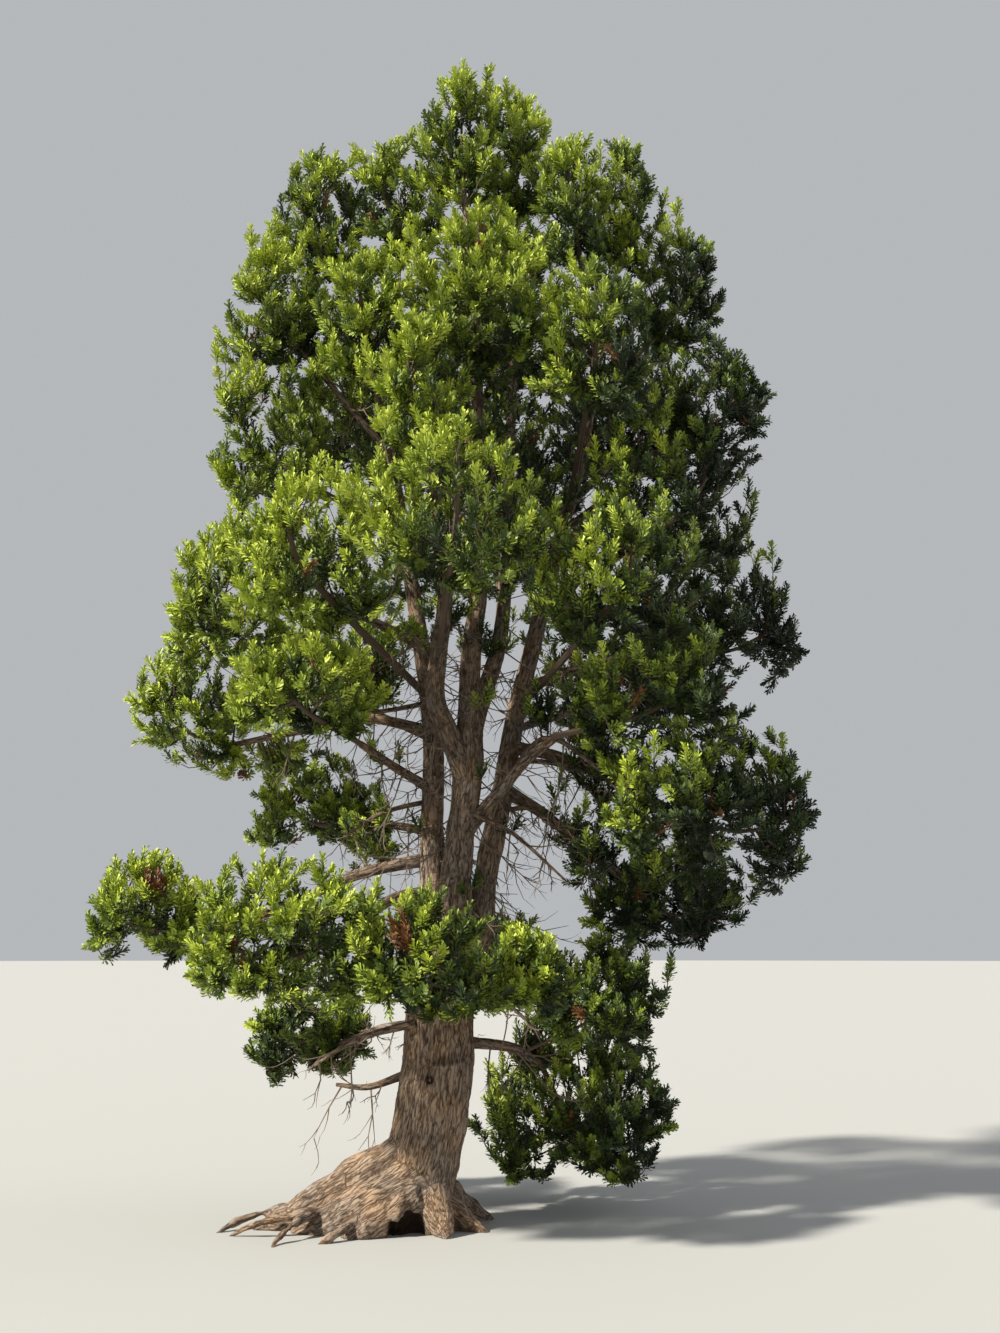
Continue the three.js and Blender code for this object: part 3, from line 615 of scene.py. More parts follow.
def carve_brow(points, height):
    """The ledge that a lost bough left across the trunk's front, with a dent above it; the ledge is painted
    paler as a highlight and the dent darker as shade.
    """
    across_it = (points[:, 0] - BROW["at"][0]) / BROW["half"]
    above = points[:, 2] - (BROW["at"][1] + BROW["bow"] * across_it**2)
    fade = np.clip(1.3 - np.abs(across_it), 0, 1) * (points[:, 1] < 0)
    ledge = np.exp(-(((above + 0.015) / 0.02) ** 2)) * fade
    dent = np.exp(-(((above - 0.06) / 0.06) ** 2)) * fade
    points[:, 1] += BROW["deep"] * (dent - 0.9 * ledge)
    # painted highlight on the ledge, painted shade in the dent
    height += 0.3 * ledge - 0.35 * dent


def carve_knot(points, height):
    """A knot with a pale middle and a raised ring round it."""
    far = np.hypot(points[:, 0] - KNOT["at"][0], points[:, 2] - KNOT["at"][1]) / KNOT["radius"]
    front = points[:, 1] < 0
    ring = np.exp(-(((far - 1.3) / 0.35) ** 2)) * front
    moat = np.exp(-(((far - 0.75) / 0.3) ** 2)) * front
    points[:, 1] += KNOT["deep"] * (moat - 0.5 * ring)
    height += np.clip(1 - 2.5 * far, 0, 1) * front - 0.9 * moat


def carve_hollow(points, height):
    """The hollow between the feet, pushed in from the front behind a ragged rim and painted dark there as
    shade.
    """
    middle, half = (np.array(v) for v in HOLLOW)
    off = (points - middle) / half
    inside = RIM + RAGGED * bumps(points, *RAGGED_SCALES) - off[:, 0] ** 2 - off[:, 2] ** 2
    deep = middle[1] + half[1] * np.sqrt(np.maximum(inside, 0))
    sunk = (inside > 0) & (points[:, 1] > middle[1] - half[1]) & (points[:, 1] < deep)
    points[sunk, 1] = deep[sunk]
    # painted shade: the darkest bark colour in the hollow
    height[sunk] = HOLLOW_PAINTED_SHADE


def cut_flat(mesh):
    """Cuts a mesh off at the ground and closes it there."""
    work = bmesh.new()
    work.from_mesh(mesh)
    everything = [*work.verts, *work.edges, *work.faces]
    cut = bmesh.ops.bisect_plane(
        work, geom=everything, plane_co=(0, 0, 0), plane_no=(0, 0, 1), clear_inner=True)
    edges = [e for e in cut["geom_cut"] if isinstance(e, bmesh.types.BMEdge)]
    bmesh.ops.holes_fill(work, edges=edges)
    work.to_mesh(mesh)
    work.free()


# Masses of foliage


class Clump:
    """An egg-shaped part of the crown, by its middle and its half sizes."""

    def __init__(self, at, half, seed):
        self.at, self.half, self.seed = np.array(at, float), np.array(half, float), seed

    def reach_in(self, points):
        """How far out of the clump points are: under 1 is inside."""
        return np.linalg.norm((points - self.at) / self.half, axis=-1)


class Mass(Clump):
    """A clump that the solids have as a node, with its stem and sprays."""

    def __init__(self, name, seed):
        self.name = name
        self.on, self.leaves, at, self.spread, self.tall = MASSES[name]
        super().__init__(at, self.spread * np.array([1, DEPTH_SHARE, self.tall]), seed)
        self.longest = min(SPRAY_LENGTH, self.spread * math.sqrt(self.tall))
        self.stem = self.make_stem()

    def to_skin(self, point, along):
        p, d = (point - self.at) / self.half, along / self.half
        a, b, c = d @ d, p @ d, p @ p - 1
        return (-b + math.sqrt(max(b * b - a * c, 0))) / a

    def make_stem(self):
        limb = limbs[self.on]
        place = place_on(limb, self.leaves)
        start, along = limb.point(place), limb.tangent(place)
        middle = self.at - STEM_DROP * self.half[2] * UP
        out = turned_up(middle - start)
        end = middle + out * STEM_REACH * self.to_skin(middle, out)
        length = np.linalg.norm(middle - start) + np.linalg.norm(end - middle)
        thick = limb.radius(1) if self.leaves is TIP else max(STEM_GIRTH * length, STEM_LEAST)
        points = [start, middle, end]
        if self.leaves is TIP:
            points.insert(1, start + STEM_STRAIGHT * along)
        last = len(points) - 1
        return Limb([(*p, thick * (1 - STEM_TAPER * i / last)) for i, p in enumerate(points)])

    def first_foot(self):
        place = 0.0
        while place < LATEST_ENTRY and self.reach_in(self.stem.point(place)) > ENTRY:
            place += ENTRY_STEP
        return max(place, FIRST_FOOT)

    def sprays(self):
        """Each spray that the solid mass has: its foot's place on the stem, root, tip and width."""
        number = round_half_up(FEWEST + self.spread / SPRAY_EVERY)
        feet = np.linspace(self.first_foot(), LAST_FOOT, FEET + 1)
        corners = coordinates(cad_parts[self.name].data)
        found = []
        for i in range(number + 1):
            level = 1 if i == number else LOWEST + (HIGHEST - LOWEST) * i / (number - 1)
            turn = GOLDEN_ANGLE * i + MOST_TURN * chance(self.seed, 0, 1)
            flat = math.sqrt(1 - level**2)
            tip = self.at + self.half * np.array([flat * math.cos(turn), flat * math.sin(turn), level])
            if np.linalg.norm(corners - tip, axis=1).min() > 0.01:
                continue
            low = tip - UPSWEEP * self.longest * UP
            foot = feet[np.argmin(np.linalg.norm(self.stem.point(feet) - low, axis=1))]
            foot = LAST_FOOT if i == number else foot
            root = self.stem.point(foot)
            if np.linalg.norm(tip - root) > TWIG_BEYOND * self.longest:
                root = tip - self.longest * turned_up(tip - root)
            wide = max(np.linalg.norm(tip - root), LEAST_WIDE * self.longest)
            found.append((foot, root, tip, wide))
        return found


def round_half_up(x):
    return math.floor(x + 0.5)


masses = [Mass(name, FIRST_SEED + i) for i, name in enumerate(MASSES)]

# Shoots and their needles

SHOOT = (0.15, 0.25)  # a shoot's shortest and longest leafy part
NEEDLE = 0.092
NEEDLE_WIDE = 0.009  # a single needle's foot, wider than life
BUNDLE_SPREAD = math.radians(10)  # half the angle between the outer needles of a bundle
BUNDLE_SHORT = 0.85  # the shorter of those two, as a share of the longer
NEEDLE_LEAN = (math.radians(64), math.radians(24))  # from a shoot's line, at its foot and near its tip
LEAN_CURVE, LEAN_SPREAD = 1.3, 0.12
NEEDLE_SIZES = (0.8, 1.08)  # shares of the needle's length
NEEDLE_ROLL = 0.25  # how far a bundle is turned at most out of the brush's own skin
OUTER = (32, 7)  # bundles and single needles on a shoot at the outside of a mass
INNER = (19, 4)  # and on one inside it
LEAFY_CLEAR = 0.03  # how far leafy shoots keep from the limbs
INSIDE = 0.72  # what is nearer to a mass's middle than this is inside it
CORE_THICK = 0.021  # half the thickness of the leafy core that the needles stand out of
CORE_WIDEST = 0.55  # and where along the shoot it is widest
CORE_SIDES = 4
# A core is painted darker than its needles as the shade inside its brush
CORE_PAINTED_SHADE = 2  # how many looks darker than its needles a core is


def bezier(a, b, c, u):
    u = np.asarray(u)[..., None]
    return (1 - u) ** 2 * a + 2 * u * (1 - u) * b + u**2 * c


class Sprigs:
    """The twigs and shoots of one clump, gathered before they are made."""

    def __init__(self, clump):
        self.clump = clump
        self.dice = np.random.default_rng(clump.seed)
        self.twigs, self.girths = [], []
        self.roots, self.ways, self.lengths = [], [], []

    def twig(self, points, girths):
        self.twigs.append(points)
        self.girths.append(girths)

    def shoots(self, roots, ways, lengths):
        roots, ways = np.atleast_2d(roots), np.atleast_2d(ways)
        self.roots.append(roots)
        self.ways.append(ways)
        self.lengths.append(np.broadcast_to(lengths, len(roots)))

    def tuft(self, foot, end):
        """A thin twig with a shoot at its end, a sister beside it and a shorter one on the way."""
        reach = np.linalg.norm(end - foot)
        way = turned_up(end - foot, TUFT_LIFT)
        size = self.dice.uniform(*SHOOT)
        root = end - min(size, LEAFY_MOST * reach) * way
        middle = (foot + root) / 2 - TUFT_SAG * reach * UP
        self.twig(np.array([foot, middle, root + 0.4 * size * way]), SIDE_GIRTHS)
        aside = unit(np.cross(way, UP)) * self.dice.choice([-1, 1])
        ways = turned_up(np.array([way, way + SISTER * aside, way - 0.8 * aside]), 0.25)
        roots = np.array([root, root - 0.04 * way, foot + 0.55 * (root - foot)])
        self.shoots(roots, ways, size * np.array([1, *SISTER_SIZES]))

    def all_shoots(self):
        return np.vstack(self.roots), np.vstack(self.ways), np.concatenate(self.lengths)

    def middles(self):
        roots, ways, lengths = self.all_shoots()
        return roots + 0.5 * lengths[:, None] * ways


LEAFY_MOST = 0.8  # the most of a twig's reach that is leafy
TUFT_LIFT, TUFT_SAG = 0.5, 0.06
SISTER = 0.85  # how far a shoot's sister turns away from it
SISTER_SIZES = (0.8, 0.75)  # of the sister and of the shorter shoot, as shares of the first
SIDE_TWIGS = (2.5, 8)  # on a plume: so many, and so many more for each metre of its width
PLUME_SAG = 0.1
SIDE_FROM, SIDE_TO = 0.16, 0.93
OUTLINE = ([0, 0.15, 0.4, 0.7, 0.9, 1], [0.14, 0.25, 0.36, 0.42, 0.34, 0.22])  # half width along a plume
WHORL = 5
FURTHEST = 1.05  # how far out of its mass a shoot's tip may come
SIDE_GIRTHS = (0.008, 0.006, 0.003)
AXIS_GIRTHS = np.linspace(0.017, 0.006, 5)
SIDE_WAY = (0.95, 0.45, 0.25)  # how far a side twig goes out of the plume, along it and up
SIDE_BOW = 0.12
LOW_SIDE = (-0.3, 0.8)  # twigs that point further down than this are shorter, by this share
TIP_BACK, WHORL_BACK = 0.3, 0.36  # how far before the tip its last shoots start
TIP_SHOOT, WHORL_SHOOTS = 0.26, (0.16, 0.24)
KNEE_FROM, KNEE_SAG = 0.02, 0.06  # from this distance on, a twig joins the spray to the stem


def grow_plume(sprigs, foot, root, tip, wide):
    """A spray of the solid mass, carried to finer twigs: an axis, side twigs, and shoots on both."""
    dice, mass = sprigs.dice, sprigs.clump
    way = tip - root
    length = np.linalg.norm(way)
    way = way / length
    first, second = (v[0] for v in across(way))
    stem_point = mass.stem.point(foot)
    bend = (root + tip) / 2 - PLUME_SAG * length * UP
    number = round(SIDE_TWIGS[0] + SIDE_TWIGS[1] * wide)
    u = np.linspace(SIDE_FROM, SIDE_TO, number) + dice.uniform(-0.03, 0.03, number)
    feet = bezier(root, bend, tip, u)
    turn = GOLDEN_ANGLE * np.arange(number) + dice.uniform(0, 2 * np.pi)
    out = around(turn, first, second)
    half = np.interp(u, *OUTLINE) * wide * dice.uniform(0.8, 1.15, number)
    half *= np.where(out[:, 2] < LOW_SIDE[0], LOW_SIDE[1], 1)
    ends = feet + half[:, None] * (SIDE_WAY[0] * out + SIDE_WAY[1] * way + SIDE_WAY[2] * UP)
    keep = mass.reach_in(ends) < FURTHEST
    feet, out, half, ends = feet[keep], out[keep], half[keep], ends[keep]
    number = len(ends)
    sizes = dice.uniform(*SHOOT, number)
    ways = turned_up(unit(ends - feet), 0.6)
    roots = ends - ways * np.minimum(sizes, LEAFY_MOST * np.linalg.norm(ends - feet, axis=1))[:, None]
    for k in range(number):
        middle = (feet[k] + roots[k]) / 2 + SIDE_BOW * half[k] * (out[k] - 0.5 * UP)
        sprigs.twig(np.array([feet[k], middle, roots[k] + 0.5 * sizes[k] * ways[k]]), SIDE_GIRTHS)
    sprigs.shoots(roots, ways, sizes)
    # a sister that forks off beside each end shoot, and a shorter one on the way to it
    aside = np.cross(ways, out) * dice.choice([-1, 1], number)[:, None]
    sprigs.shoots(roots - 0.03 * ways, turned_up(ways + SISTER * aside, 0.3), SISTER_SIZES[0] * sizes)
    share = dice.uniform(0.3, 0.6, number)[:, None]
    between = feet + share * (roots - feet)
    sprigs.shoots(between, turned_up(ways - 0.9 * aside, 0.35), SISTER_SIZES[1] * sizes)
    # the tip and the whorl round it
    axis = bezier(root, bend, tip - 0.12 * way, np.linspace(0, 1, len(AXIS_GIRTHS)))
    last_way = unit(tip - bend)
    sprigs.shoots(tip - TIP_BACK * last_way, turned_up(last_way, 0.3), TIP_SHOOT)
    ring = around(full_turn(WHORL) + dice.uniform(-0.4, 0.4, WHORL), first, second)
    whorl = np.broadcast_to(tip - WHORL_BACK * last_way, (WHORL, 3))
    sprigs.shoots(whorl, turned_up(last_way + 0.8 * ring, 0.4), dice.uniform(*WHORL_SHOOTS, WHORL))
    sprigs.twig(axis[:3], AXIS_GIRTHS[:3])
    sprigs.twig(axis[2:], AXIS_GIRTHS[2:])
    gap = np.linalg.norm(stem_point - root)
    if gap > KNEE_FROM:
        knee = (stem_point + root) / 2 - KNEE_SAG * gap * UP
        thick = TWIG_GIRTH[0] * mass.stem.radius(foot) + TWIG_GIRTH[1]
        sprigs.twig(np.array([stem_point, knee, root]), thick * np.array([1, 0.8, TWIG_TAPER]))


FILL_EVERY = 0.062  # square metres of a mass's skin for each place where a tuft may fill it
LOW_MASS = 4.0  # masses below this height have nothing behind them and are filled more densely
LOW_FILL_EVERY = 0.038
LOW_FILL_CLEAR = 0.14
FILL_DEPTH = (0.6, 1.4)
FILL_CLEAR = 0.175  # how far it keeps from the middles of other shoots
FILL_DROP = 0.35
FILL_LOWEST = -0.8
FILL_ABOVE = 0.25
SURFACE_POWER = 1.6  # for the area of an egg shape
JOINED = (1.4, 1.65)  # a tuft may lie this far out of two masses, low in the crown and high in it
OPEN_TOP = 6.5  # below this height, and this far from the stems' middle line, the crown stays open
OPEN_MIDDLE = np.array([0.35, 0.15])
OPEN_HALF = np.array([1.2, 1.7])


def fill_mass(sprigs, others, middles):
    """Tufts where the plumes leave a mass's skin bare, or leave a gap to the next mass."""
    dice, mass = sprigs.dice, sprigs.clump
    a, b, c = mass.half**SURFACE_POWER
    area = 4 * np.pi * ((a * b + a * c + b * c) / 3) ** (1 / SURFACE_POWER)
    dense = mass.at[2] < LOW_MASS
    number = int(area / (LOW_FILL_EVERY if dense else FILL_EVERY))
    level = 1 - (1 - FILL_LOWEST) * (np.arange(number) + 0.5) / number
    flat = np.sqrt(1 - level**2)
    turn = GOLDEN_ANGLE * np.arange(number)
    skin = np.stack([flat * np.cos(turn), flat * np.sin(turn), level], 1)
    ends = mass.at + skin * mass.half * dice.uniform(*FILL_DEPTH, number)[:, None]
    beside = np.min([other.reach_in(ends) for other in others], 0)
    opening = (np.abs(ends[:, :2] - OPEN_MIDDLE) < OPEN_HALF).all(1) & (ends[:, 2] < OPEN_TOP)
    joined = np.where(ends[:, 2] < OPEN_TOP, *JOINED)
    fits = (mass.reach_in(ends) < 1) | ((beside > 1) & (beside < joined) & ~opening)
    wood = np.vstack(sprigs.twigs)
    for end in ends[fits & (ends[:, 2] > FILL_ABOVE)]:
        if np.linalg.norm(middles - end, axis=1).min() < (LOW_FILL_CLEAR if dense else FILL_CLEAR):
            continue
        sprigs.tuft(foot_for(end, wood, FILL_DROP), end)


def foot_for(end, wood, drop):
    """The point of the wood that is nearest to a place a little below a tuft's end."""
    return wood[np.argmin(np.linalg.norm(wood - end + drop * UP, axis=1))]


# Leafy twigs on a leader itself, between the masses: from and to which height
ON_LEADERS = {
    "trunk": (7.3, 12.2), "right_leader": (7.2, 11.2), "left_leader": (7.0, 11.0),
    "inner_leader": (7.0, 12.0), "front_leader": (6.5, 8.1),
}
LEADER_TWIG_EVERY = 0.055
LEADER_TWIG = (0.3, 0.95)


def grow_on_leader(name, seed):
    limb = limbs[name]
    low, high = (limb.point(place_on(limb, z)) for z in ON_LEADERS[name])
    sprigs = Sprigs(Clump((low + high) / 2, (1, 1, (high[2] - low[2]) / 1.6), seed))
    for k in range(int((high[2] - low[2]) / LEADER_TWIG_EVERY)):
        foot = limb.point(place_on(limb, low[2] + k * LEADER_TWIG_EVERY))
        turn = GOLDEN_ANGLE * k + sprigs.dice.uniform(-0.4, 0.4)
        way = turned_up(np.array([math.cos(turn), math.sin(turn), 0]), 0.6)
        sprigs.tuft(foot, foot + sprigs.dice.uniform(*LEADER_TWIG) * way)
    return sprigs


def clear_of_limbs(points, margin):
    """Which points are further than a margin from the skin of every limb."""
    clear = np.ones(len(points), bool)
    for limb in limbs.values():
        t = np.linspace(0, 1, max(20, int(limb.length() / 0.08)))
        far = np.linalg.norm(points[:, None] - limb.point(t)[None], axis=2) - limb.radius(t)[None]
        clear &= far.min(1) > margin
    return clear


def needle_triangles(roots, ways, lengths, dice, bundles, singles):
    """The points of all needles on the given shoots, three for each bundle or single needle."""
    number, count = len(roots), bundles + singles
    first, second = across(ways)
    s = (np.arange(count) + 0.5) / count
    turn = GOLDEN_ANGLE * np.arange(count)[None] + dice.uniform(0, 6, (number, 1))
    lean = NEEDLE_LEAN[0] + (NEEDLE_LEAN[1] - NEEDLE_LEAN[0]) * s[None] ** LEAN_CURVE
    lean = lean + dice.normal(0, LEAN_SPREAD, (number, count))
    size = NEEDLE * dice.uniform(*NEEDLE_SIZES, (number, count, 1))
    first, second, ways = first[:, None], second[:, None], ways[:, None]
    radial = around(turn, first, second)
    sideways = around(turn, second, -first)
    along = around(lean, ways, radial)
    foot = roots[:, None] + (s[None] * lengths[:, None])[..., None] * ways
    roll = dice.uniform(-NEEDLE_ROLL, NEEDLE_ROLL, (number, count))
    flat = around(roll, sideways, np.cross(along, sideways))
    single = (np.arange(count) * singles % count < singles)[None, :, None]
    side = 0.5 * NEEDLE_WIDE * flat
    spread = math.tan(BUNDLE_SPREAD) * flat
    longer = foot + size * (along + spread)
    shorter = foot + BUNDLE_SHORT * size * (along - spread)
    corners = (
        np.where(single, foot - side, foot),
        np.where(single, foot + side, longer),
        np.where(single, foot + 1.08 * size * along, shorter),
    )
    return np.stack(corners, 2).reshape(-1, 3)


def core_triangles(roots, ways, lengths):
    """The points of the leafy cores of the given shoots, pointed at both ends."""
    first, second = across(ways)
    turn = 2 * np.pi * np.arange(CORE_SIDES + 1) / CORE_SIDES
    belt = around(turn, first[:, None], second[:, None])
    belt = (roots + CORE_WIDEST * lengths[:, None] * ways)[:, None] + CORE_THICK * belt
    here, there = belt[:, :-1], belt[:, 1:]
    foot = np.broadcast_to(roots[:, None], here.shape)
    head = np.broadcast_to((roots + lengths[:, None] * ways)[:, None], here.shape)
    return np.stack([foot, there, here, here, there, head], 2).reshape(-1, 3)


# Looks


def plain_material(name, colour, roughness):
    material = bpy.data.materials.new(name)
    material.use_nodes = True
    shader = material.node_tree.nodes["Principled BSDF"]
    shader.inputs["Base Color"].default_value = (*colour, 1)
    shader.inputs["Roughness"].default_value = roughness
    return material


def bark_material(name, furrow, plate, pale):
    """Furrow and plate colours by the mesh's own relief and a fine grain along it, in patches. The relief
    also carries the painted shade of the hollow and the brow's dent, and the painted highlight on the
    brow's ledge.
    """
    material = bpy.data.materials.new(name)
    material.use_nodes = True
    nodes, links = material.node_tree.nodes, material.node_tree.links
    shader = nodes["Principled BSDF"]
    shader.inputs["Roughness"].default_value = 0.9
    shader.inputs["Specular IOR Level"].default_value = 0.2

    def attribute(key):
        node = nodes.new("ShaderNodeAttribute")
        node.attribute_name = key
        return node

    def texture(scale, detail, where, distortion=0.0):
        node = nodes.new("ShaderNodeTexNoise")
        node.inputs["Scale"].default_value = scale
        node.inputs["Detail"].default_value = detail
        node.inputs["Distortion"].default_value = distortion
        links.new(where, node.inputs["Vector"])
        return node.outputs["Fac"]

    def sums(operation, *values):
        node = nodes.new("ShaderNodeMath")
        node.operation = operation
        for socket, value in zip(node.inputs, values):
            if isinstance(value, (int, float)):
                socket.default_value = value
            else:
                links.new(value, socket)
        return node.outputs[0]

    def ramp(stops, value):
        node = nodes.new("ShaderNodeValToRGB")
        elements = node.color_ramp.elements
        elements[0].position, elements[1].position = stops[0][0], stops[-1][0]
        for where, _ in stops[1:-1]:
            elements.new(where)
        for element, (_, colour) in zip(elements, stops):
            element.color = (*colour, 1)
        links.new(value, node.inputs["Fac"])
        return node.outputs["Color"]

    grain = attribute("grain").outputs["Vector"]
    place = nodes.new("ShaderNodeTexCoord").outputs["Object"]
    fibre = texture(26, 5, grain, 0.4)
    line = sums("MINIMUM", sums("DIVIDE", sums("ABSOLUTE", sums("SUBTRACT", fibre, 0.5)), 0.07), 1)
    fine = texture(75, 4, grain)
    # the mesh's relief, the lines between fibres, and fine flecks
    mixed = sums("MULTIPLY_ADD", line, 0.3, sums("MULTIPLY", attribute("relief").outputs["Fac"], 0.55))
    mixed = sums("MULTIPLY_ADD", fine, 0.45, mixed)
    wood = ramp(((0.4, furrow), (0.74, plate), (1.02, pale)), mixed)
    tints = ramp(((0.38, (0.78, 0.8, 0.84)), (0.64, (1.0, 0.88, 0.74))), texture(2.6, 3, place))
    tinted = nodes.new("ShaderNodeVectorMath")
    tinted.operation = "MULTIPLY"
    links.new(wood, tinted.inputs[0])
    links.new(tints, tinted.inputs[1])
    links.new(tinted.outputs[0], shader.inputs["Base Color"])
    bump = nodes.new("ShaderNodeBump")
    bump.inputs["Strength"].default_value = 0.8
    bump.inputs["Distance"].default_value = 0.012
    links.new(sums("ADD", line, fine), bump.inputs["Height"])
    links.new(bump.outputs["Normal"], shader.inputs["Normal"])
    return material


trunk_bark = bark_material("trunk_bark", (0.04, 0.026, 0.018), (0.158, 0.11, 0.078), (0.34, 0.27, 0.21))
# The bark of the leaders, boughs and thin limbs is a darker copy of the trunk's: painted shade of the crown
limb_bark = bark_material("limb_bark", (0.034, 0.023, 0.017), (0.13, 0.093, 0.068), (0.28, 0.22, 0.175))
twig_bark = plain_material("twig_bark", (0.085, 0.056, 0.036), 0.85)
dead_bark = plain_material("dead_bark", (0.15, 0.11, 0.08), 0.9)
cone_scales = plain_material("cone_scales", (0.085, 0.042, 0.04), 0.7)
# Needle tones from pale to dark: dealt out by tone_of as painted light and shade, besides patches of tone
# that differs at random
GREENS = {
    "pale": (0.39, 0.465, 0.045),
    "bright": (0.235, 0.305, 0.028),
    "mid": (0.108, 0.158, 0.018),
    "deep": (0.036, 0.061, 0.011),
    "dark": (0.012, 0.023, 0.006),
    "rust": (0.15, 0.06, 0.018),
}
greens = [plain_material("needles_" + tone, colour, 0.6) for tone, colour in GREENS.items()]
TONES = len(GREENS) - 1  # the green ones
RUST = TONES
RUSTY, RUSTY_INSIDE = 0.02, 0.8  # the share of inner shoots that have died, and what counts as inner

# Wood

skin = low_skin(trunk_bark)
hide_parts("trunk")
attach(skin, "root")

LEADER_RINGS, BOUGH_RINGS, THIN_RINGS = (24, 0.032), (16, 0.035), (9, 0.05)  # sides, and ring to ring
upper, upper_heights, upper_grains = Heap(), [], []
for number, (name, limb) in enumerate(limbs.items()):
    in_skin = name in SKIN_TOP
    first = place_on(limb, SKIN_TOP[name] - SKIN_LAP) if in_skin else 0
    rings = LEADER_RINGS if name in LEADERS else BOUGH_RINGS
    bark_tube(upper, upper_heights, upper_grains, limb, first, *rings, number + 31, not in_skin)
upper_values = {"relief": np.concatenate(upper_heights), "grain": np.concatenate(upper_grains)}
limb_piece = object_from("leaders_and_boughs", upper, [limb_bark], True, upper_values)
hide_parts(*[name for name in limbs if name != "trunk"])
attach(limb_piece, "root")

# Foliage


PATCH = 0.9  # how wide the patches of lighter and darker foliage are
DEAD_SHOOTS = np.array([  # where shoots have died and turned brown
    (-2.95, -0.6, 3.6), (-2.36, -1.2, 2.51), (-0.2, -2.3, 3.02), (0.9, -0.9, 2.2), (-1.72, -0.5, 7.51),
    (0.5, -2.7, 7.4), (-0.4, -1.9, 8.3), (1.9, -1.7, 9.3),
])
DEAD_NEAR = 0.13


# What makes a shoot lighter: a base, painted light and shade by its height in its clump, how far out it is
# and the light's side, and a patch
SCORE = (0.25, 0.2, 0.38, 0.1, 0.33)
SCORE_SPREAD = 0.15
# Painted light on each clump's side towards the light; painted shade to the right, outer right and back of
# the crown and low on the left; painted light high on the right
PAINTED_LIGHT_FROM = (-0.7, -0.4)
PAINTED_SHADE_RIGHT, PAINTED_SHADE_OUTER_RIGHT, PAINTED_SHADE_BACK = -0.052, -0.09, -0.03  # for each metre
OUTER_RIGHT = 1.2
PAINTED_LIGHT_HIGH_RIGHT, HIGH = 0.04, 8.5
PAINTED_SHADE_LOW, LOW, LOW_LEFT = -0.06, 4.3, 0.5


def tone_of(sprigs, roots, ends):
    """The look of each shoot: painted light and shade, lighter high and outside in its clump and towards
    the light, darker to the right, back and low left; and in patches.
    """
    clump = sprigs.clump
    x, y, z = ends.T
    off = (ends - clump.at) / clump.half
    out = np.linalg.norm(off, axis=1)
    # painted light on the side of each clump that faces the light, painted shade on its far side
    painted_light = PAINTED_LIGHT_FROM[0] * off[:, 0] + PAINTED_LIGHT_FROM[1] * off[:, 1]
    # painted shade to the right and back of the crown and low on the left, painted light high on the right
    side = PAINTED_SHADE_RIGHT * x + PAINTED_SHADE_OUTER_RIGHT * np.maximum(x - OUTER_RIGHT, 0) + PAINTED_SHADE_BACK * y
    side += PAINTED_LIGHT_HIGH_RIGHT * np.maximum(z - HIGH, 0) * (x > 0)
    low = PAINTED_SHADE_LOW * np.maximum(LOW - z, 0) * (x < LOW_LEFT)
    patch = [noise.noise(Vector(p) / PATCH) + 0.6 * noise.noise(Vector(p) * 3 / PATCH) for p in ends]
    base, *shares = SCORE
    # higher and outer shoots are painted lighter and a clump's depths darker: painted light and shade
    score = base + side + low + sum(s * v for s, v in zip(shares, (off[:, 2], out, painted_light, np.array(patch))))
    score += sprigs.dice.normal(0, SCORE_SPREAD, len(ends))
    tones = np.clip((1 - score) * TONES, 0, TONES - 1).astype(int)
    tones[(out < RUSTY_INSIDE) & (sprigs.dice.random(len(ends)) < RUSTY)] = RUST
    far = np.linalg.norm((roots + ends)[:, None] / 2 - DEAD_SHOOTS[None], axis=2).min(1)
    tones[far < DEAD_NEAR] = RUST
    return tones


def leafy(sprigs):
    """The needles of a clump's shoots, those too near a limb left out."""
    roots, ways, lengths = sprigs.all_shoots()
    clear = clear_of_limbs(roots + 0.5 * lengths[:, None] * ways, LEAFY_CLEAR)
    roots, ways, lengths = roots[clear], ways[clear], lengths[clear]
    ends = roots + lengths[:, None] * ways
    tones = tone_of(sprigs, roots, ends)
    # cores take darker looks than their needles: painted shade inside each brush
    core_shade_tones = np.where(tones == RUST, RUST, np.minimum(tones + CORE_PAINTED_SHADE, TONES - 1))
    inside = sprigs.clump.reach_in(ends) < INSIDE
    made = Heap()
    for these, (bundles, singles) in ((inside, INNER), (~inside, OUTER)):
        shoots = roots[these], ways[these], lengths[these]
        needles = needle_triangles(*shoots, sprigs.dice, bundles, singles)
        made.loose(needles, tones[these], bundles + singles)
        made.loose(core_triangles(*shoots), core_shade_tones[these], 2 * CORE_SIDES)
    return made


# Thin limbs in the open middle of the crown, with a few tufts, and dead ones: x, y, z and radius
INNER_LIMBS = [
    [(0.85, 0.4, 4.9, 0.04), (1.26, -0.1, 5.27, 0.032), (1.76, -0.3, 4.97, 0.024),
     (2.29, -0.5, 4.36, 0.012)],
    [(0.9, 0.45, 5.1, 0.036), (1.45, 0.2, 5, 0.028), (1.78, 0.1, 4.7, 0.02), (2.02, 0, 4.24, 0.01)],
    [(0.75, 0.42, 4.5, 0.034), (1.15, 0.25, 4.5, 0.026), (1.5, 0, 4.25, 0.018), (1.75, -0.2, 3.85, 0.01)],
    [(-0.05, 0.5, 5.8, 0.034), (-0.72, 0.3, 5.65, 0.024), (-1.23, 0.1, 5.69, 0.012)],
    [(-0.04, 0.48, 4.7, 0.034), (-0.42, 0.3, 4.96, 0.026), (-0.76, 0.2, 5.09, 0.014)],
    [(-0.04, 0.45, 4.62, 0.034), (-0.58, 0.3, 4.47, 0.026), (-1.03, 0.2, 4.2, 0.014)],
]
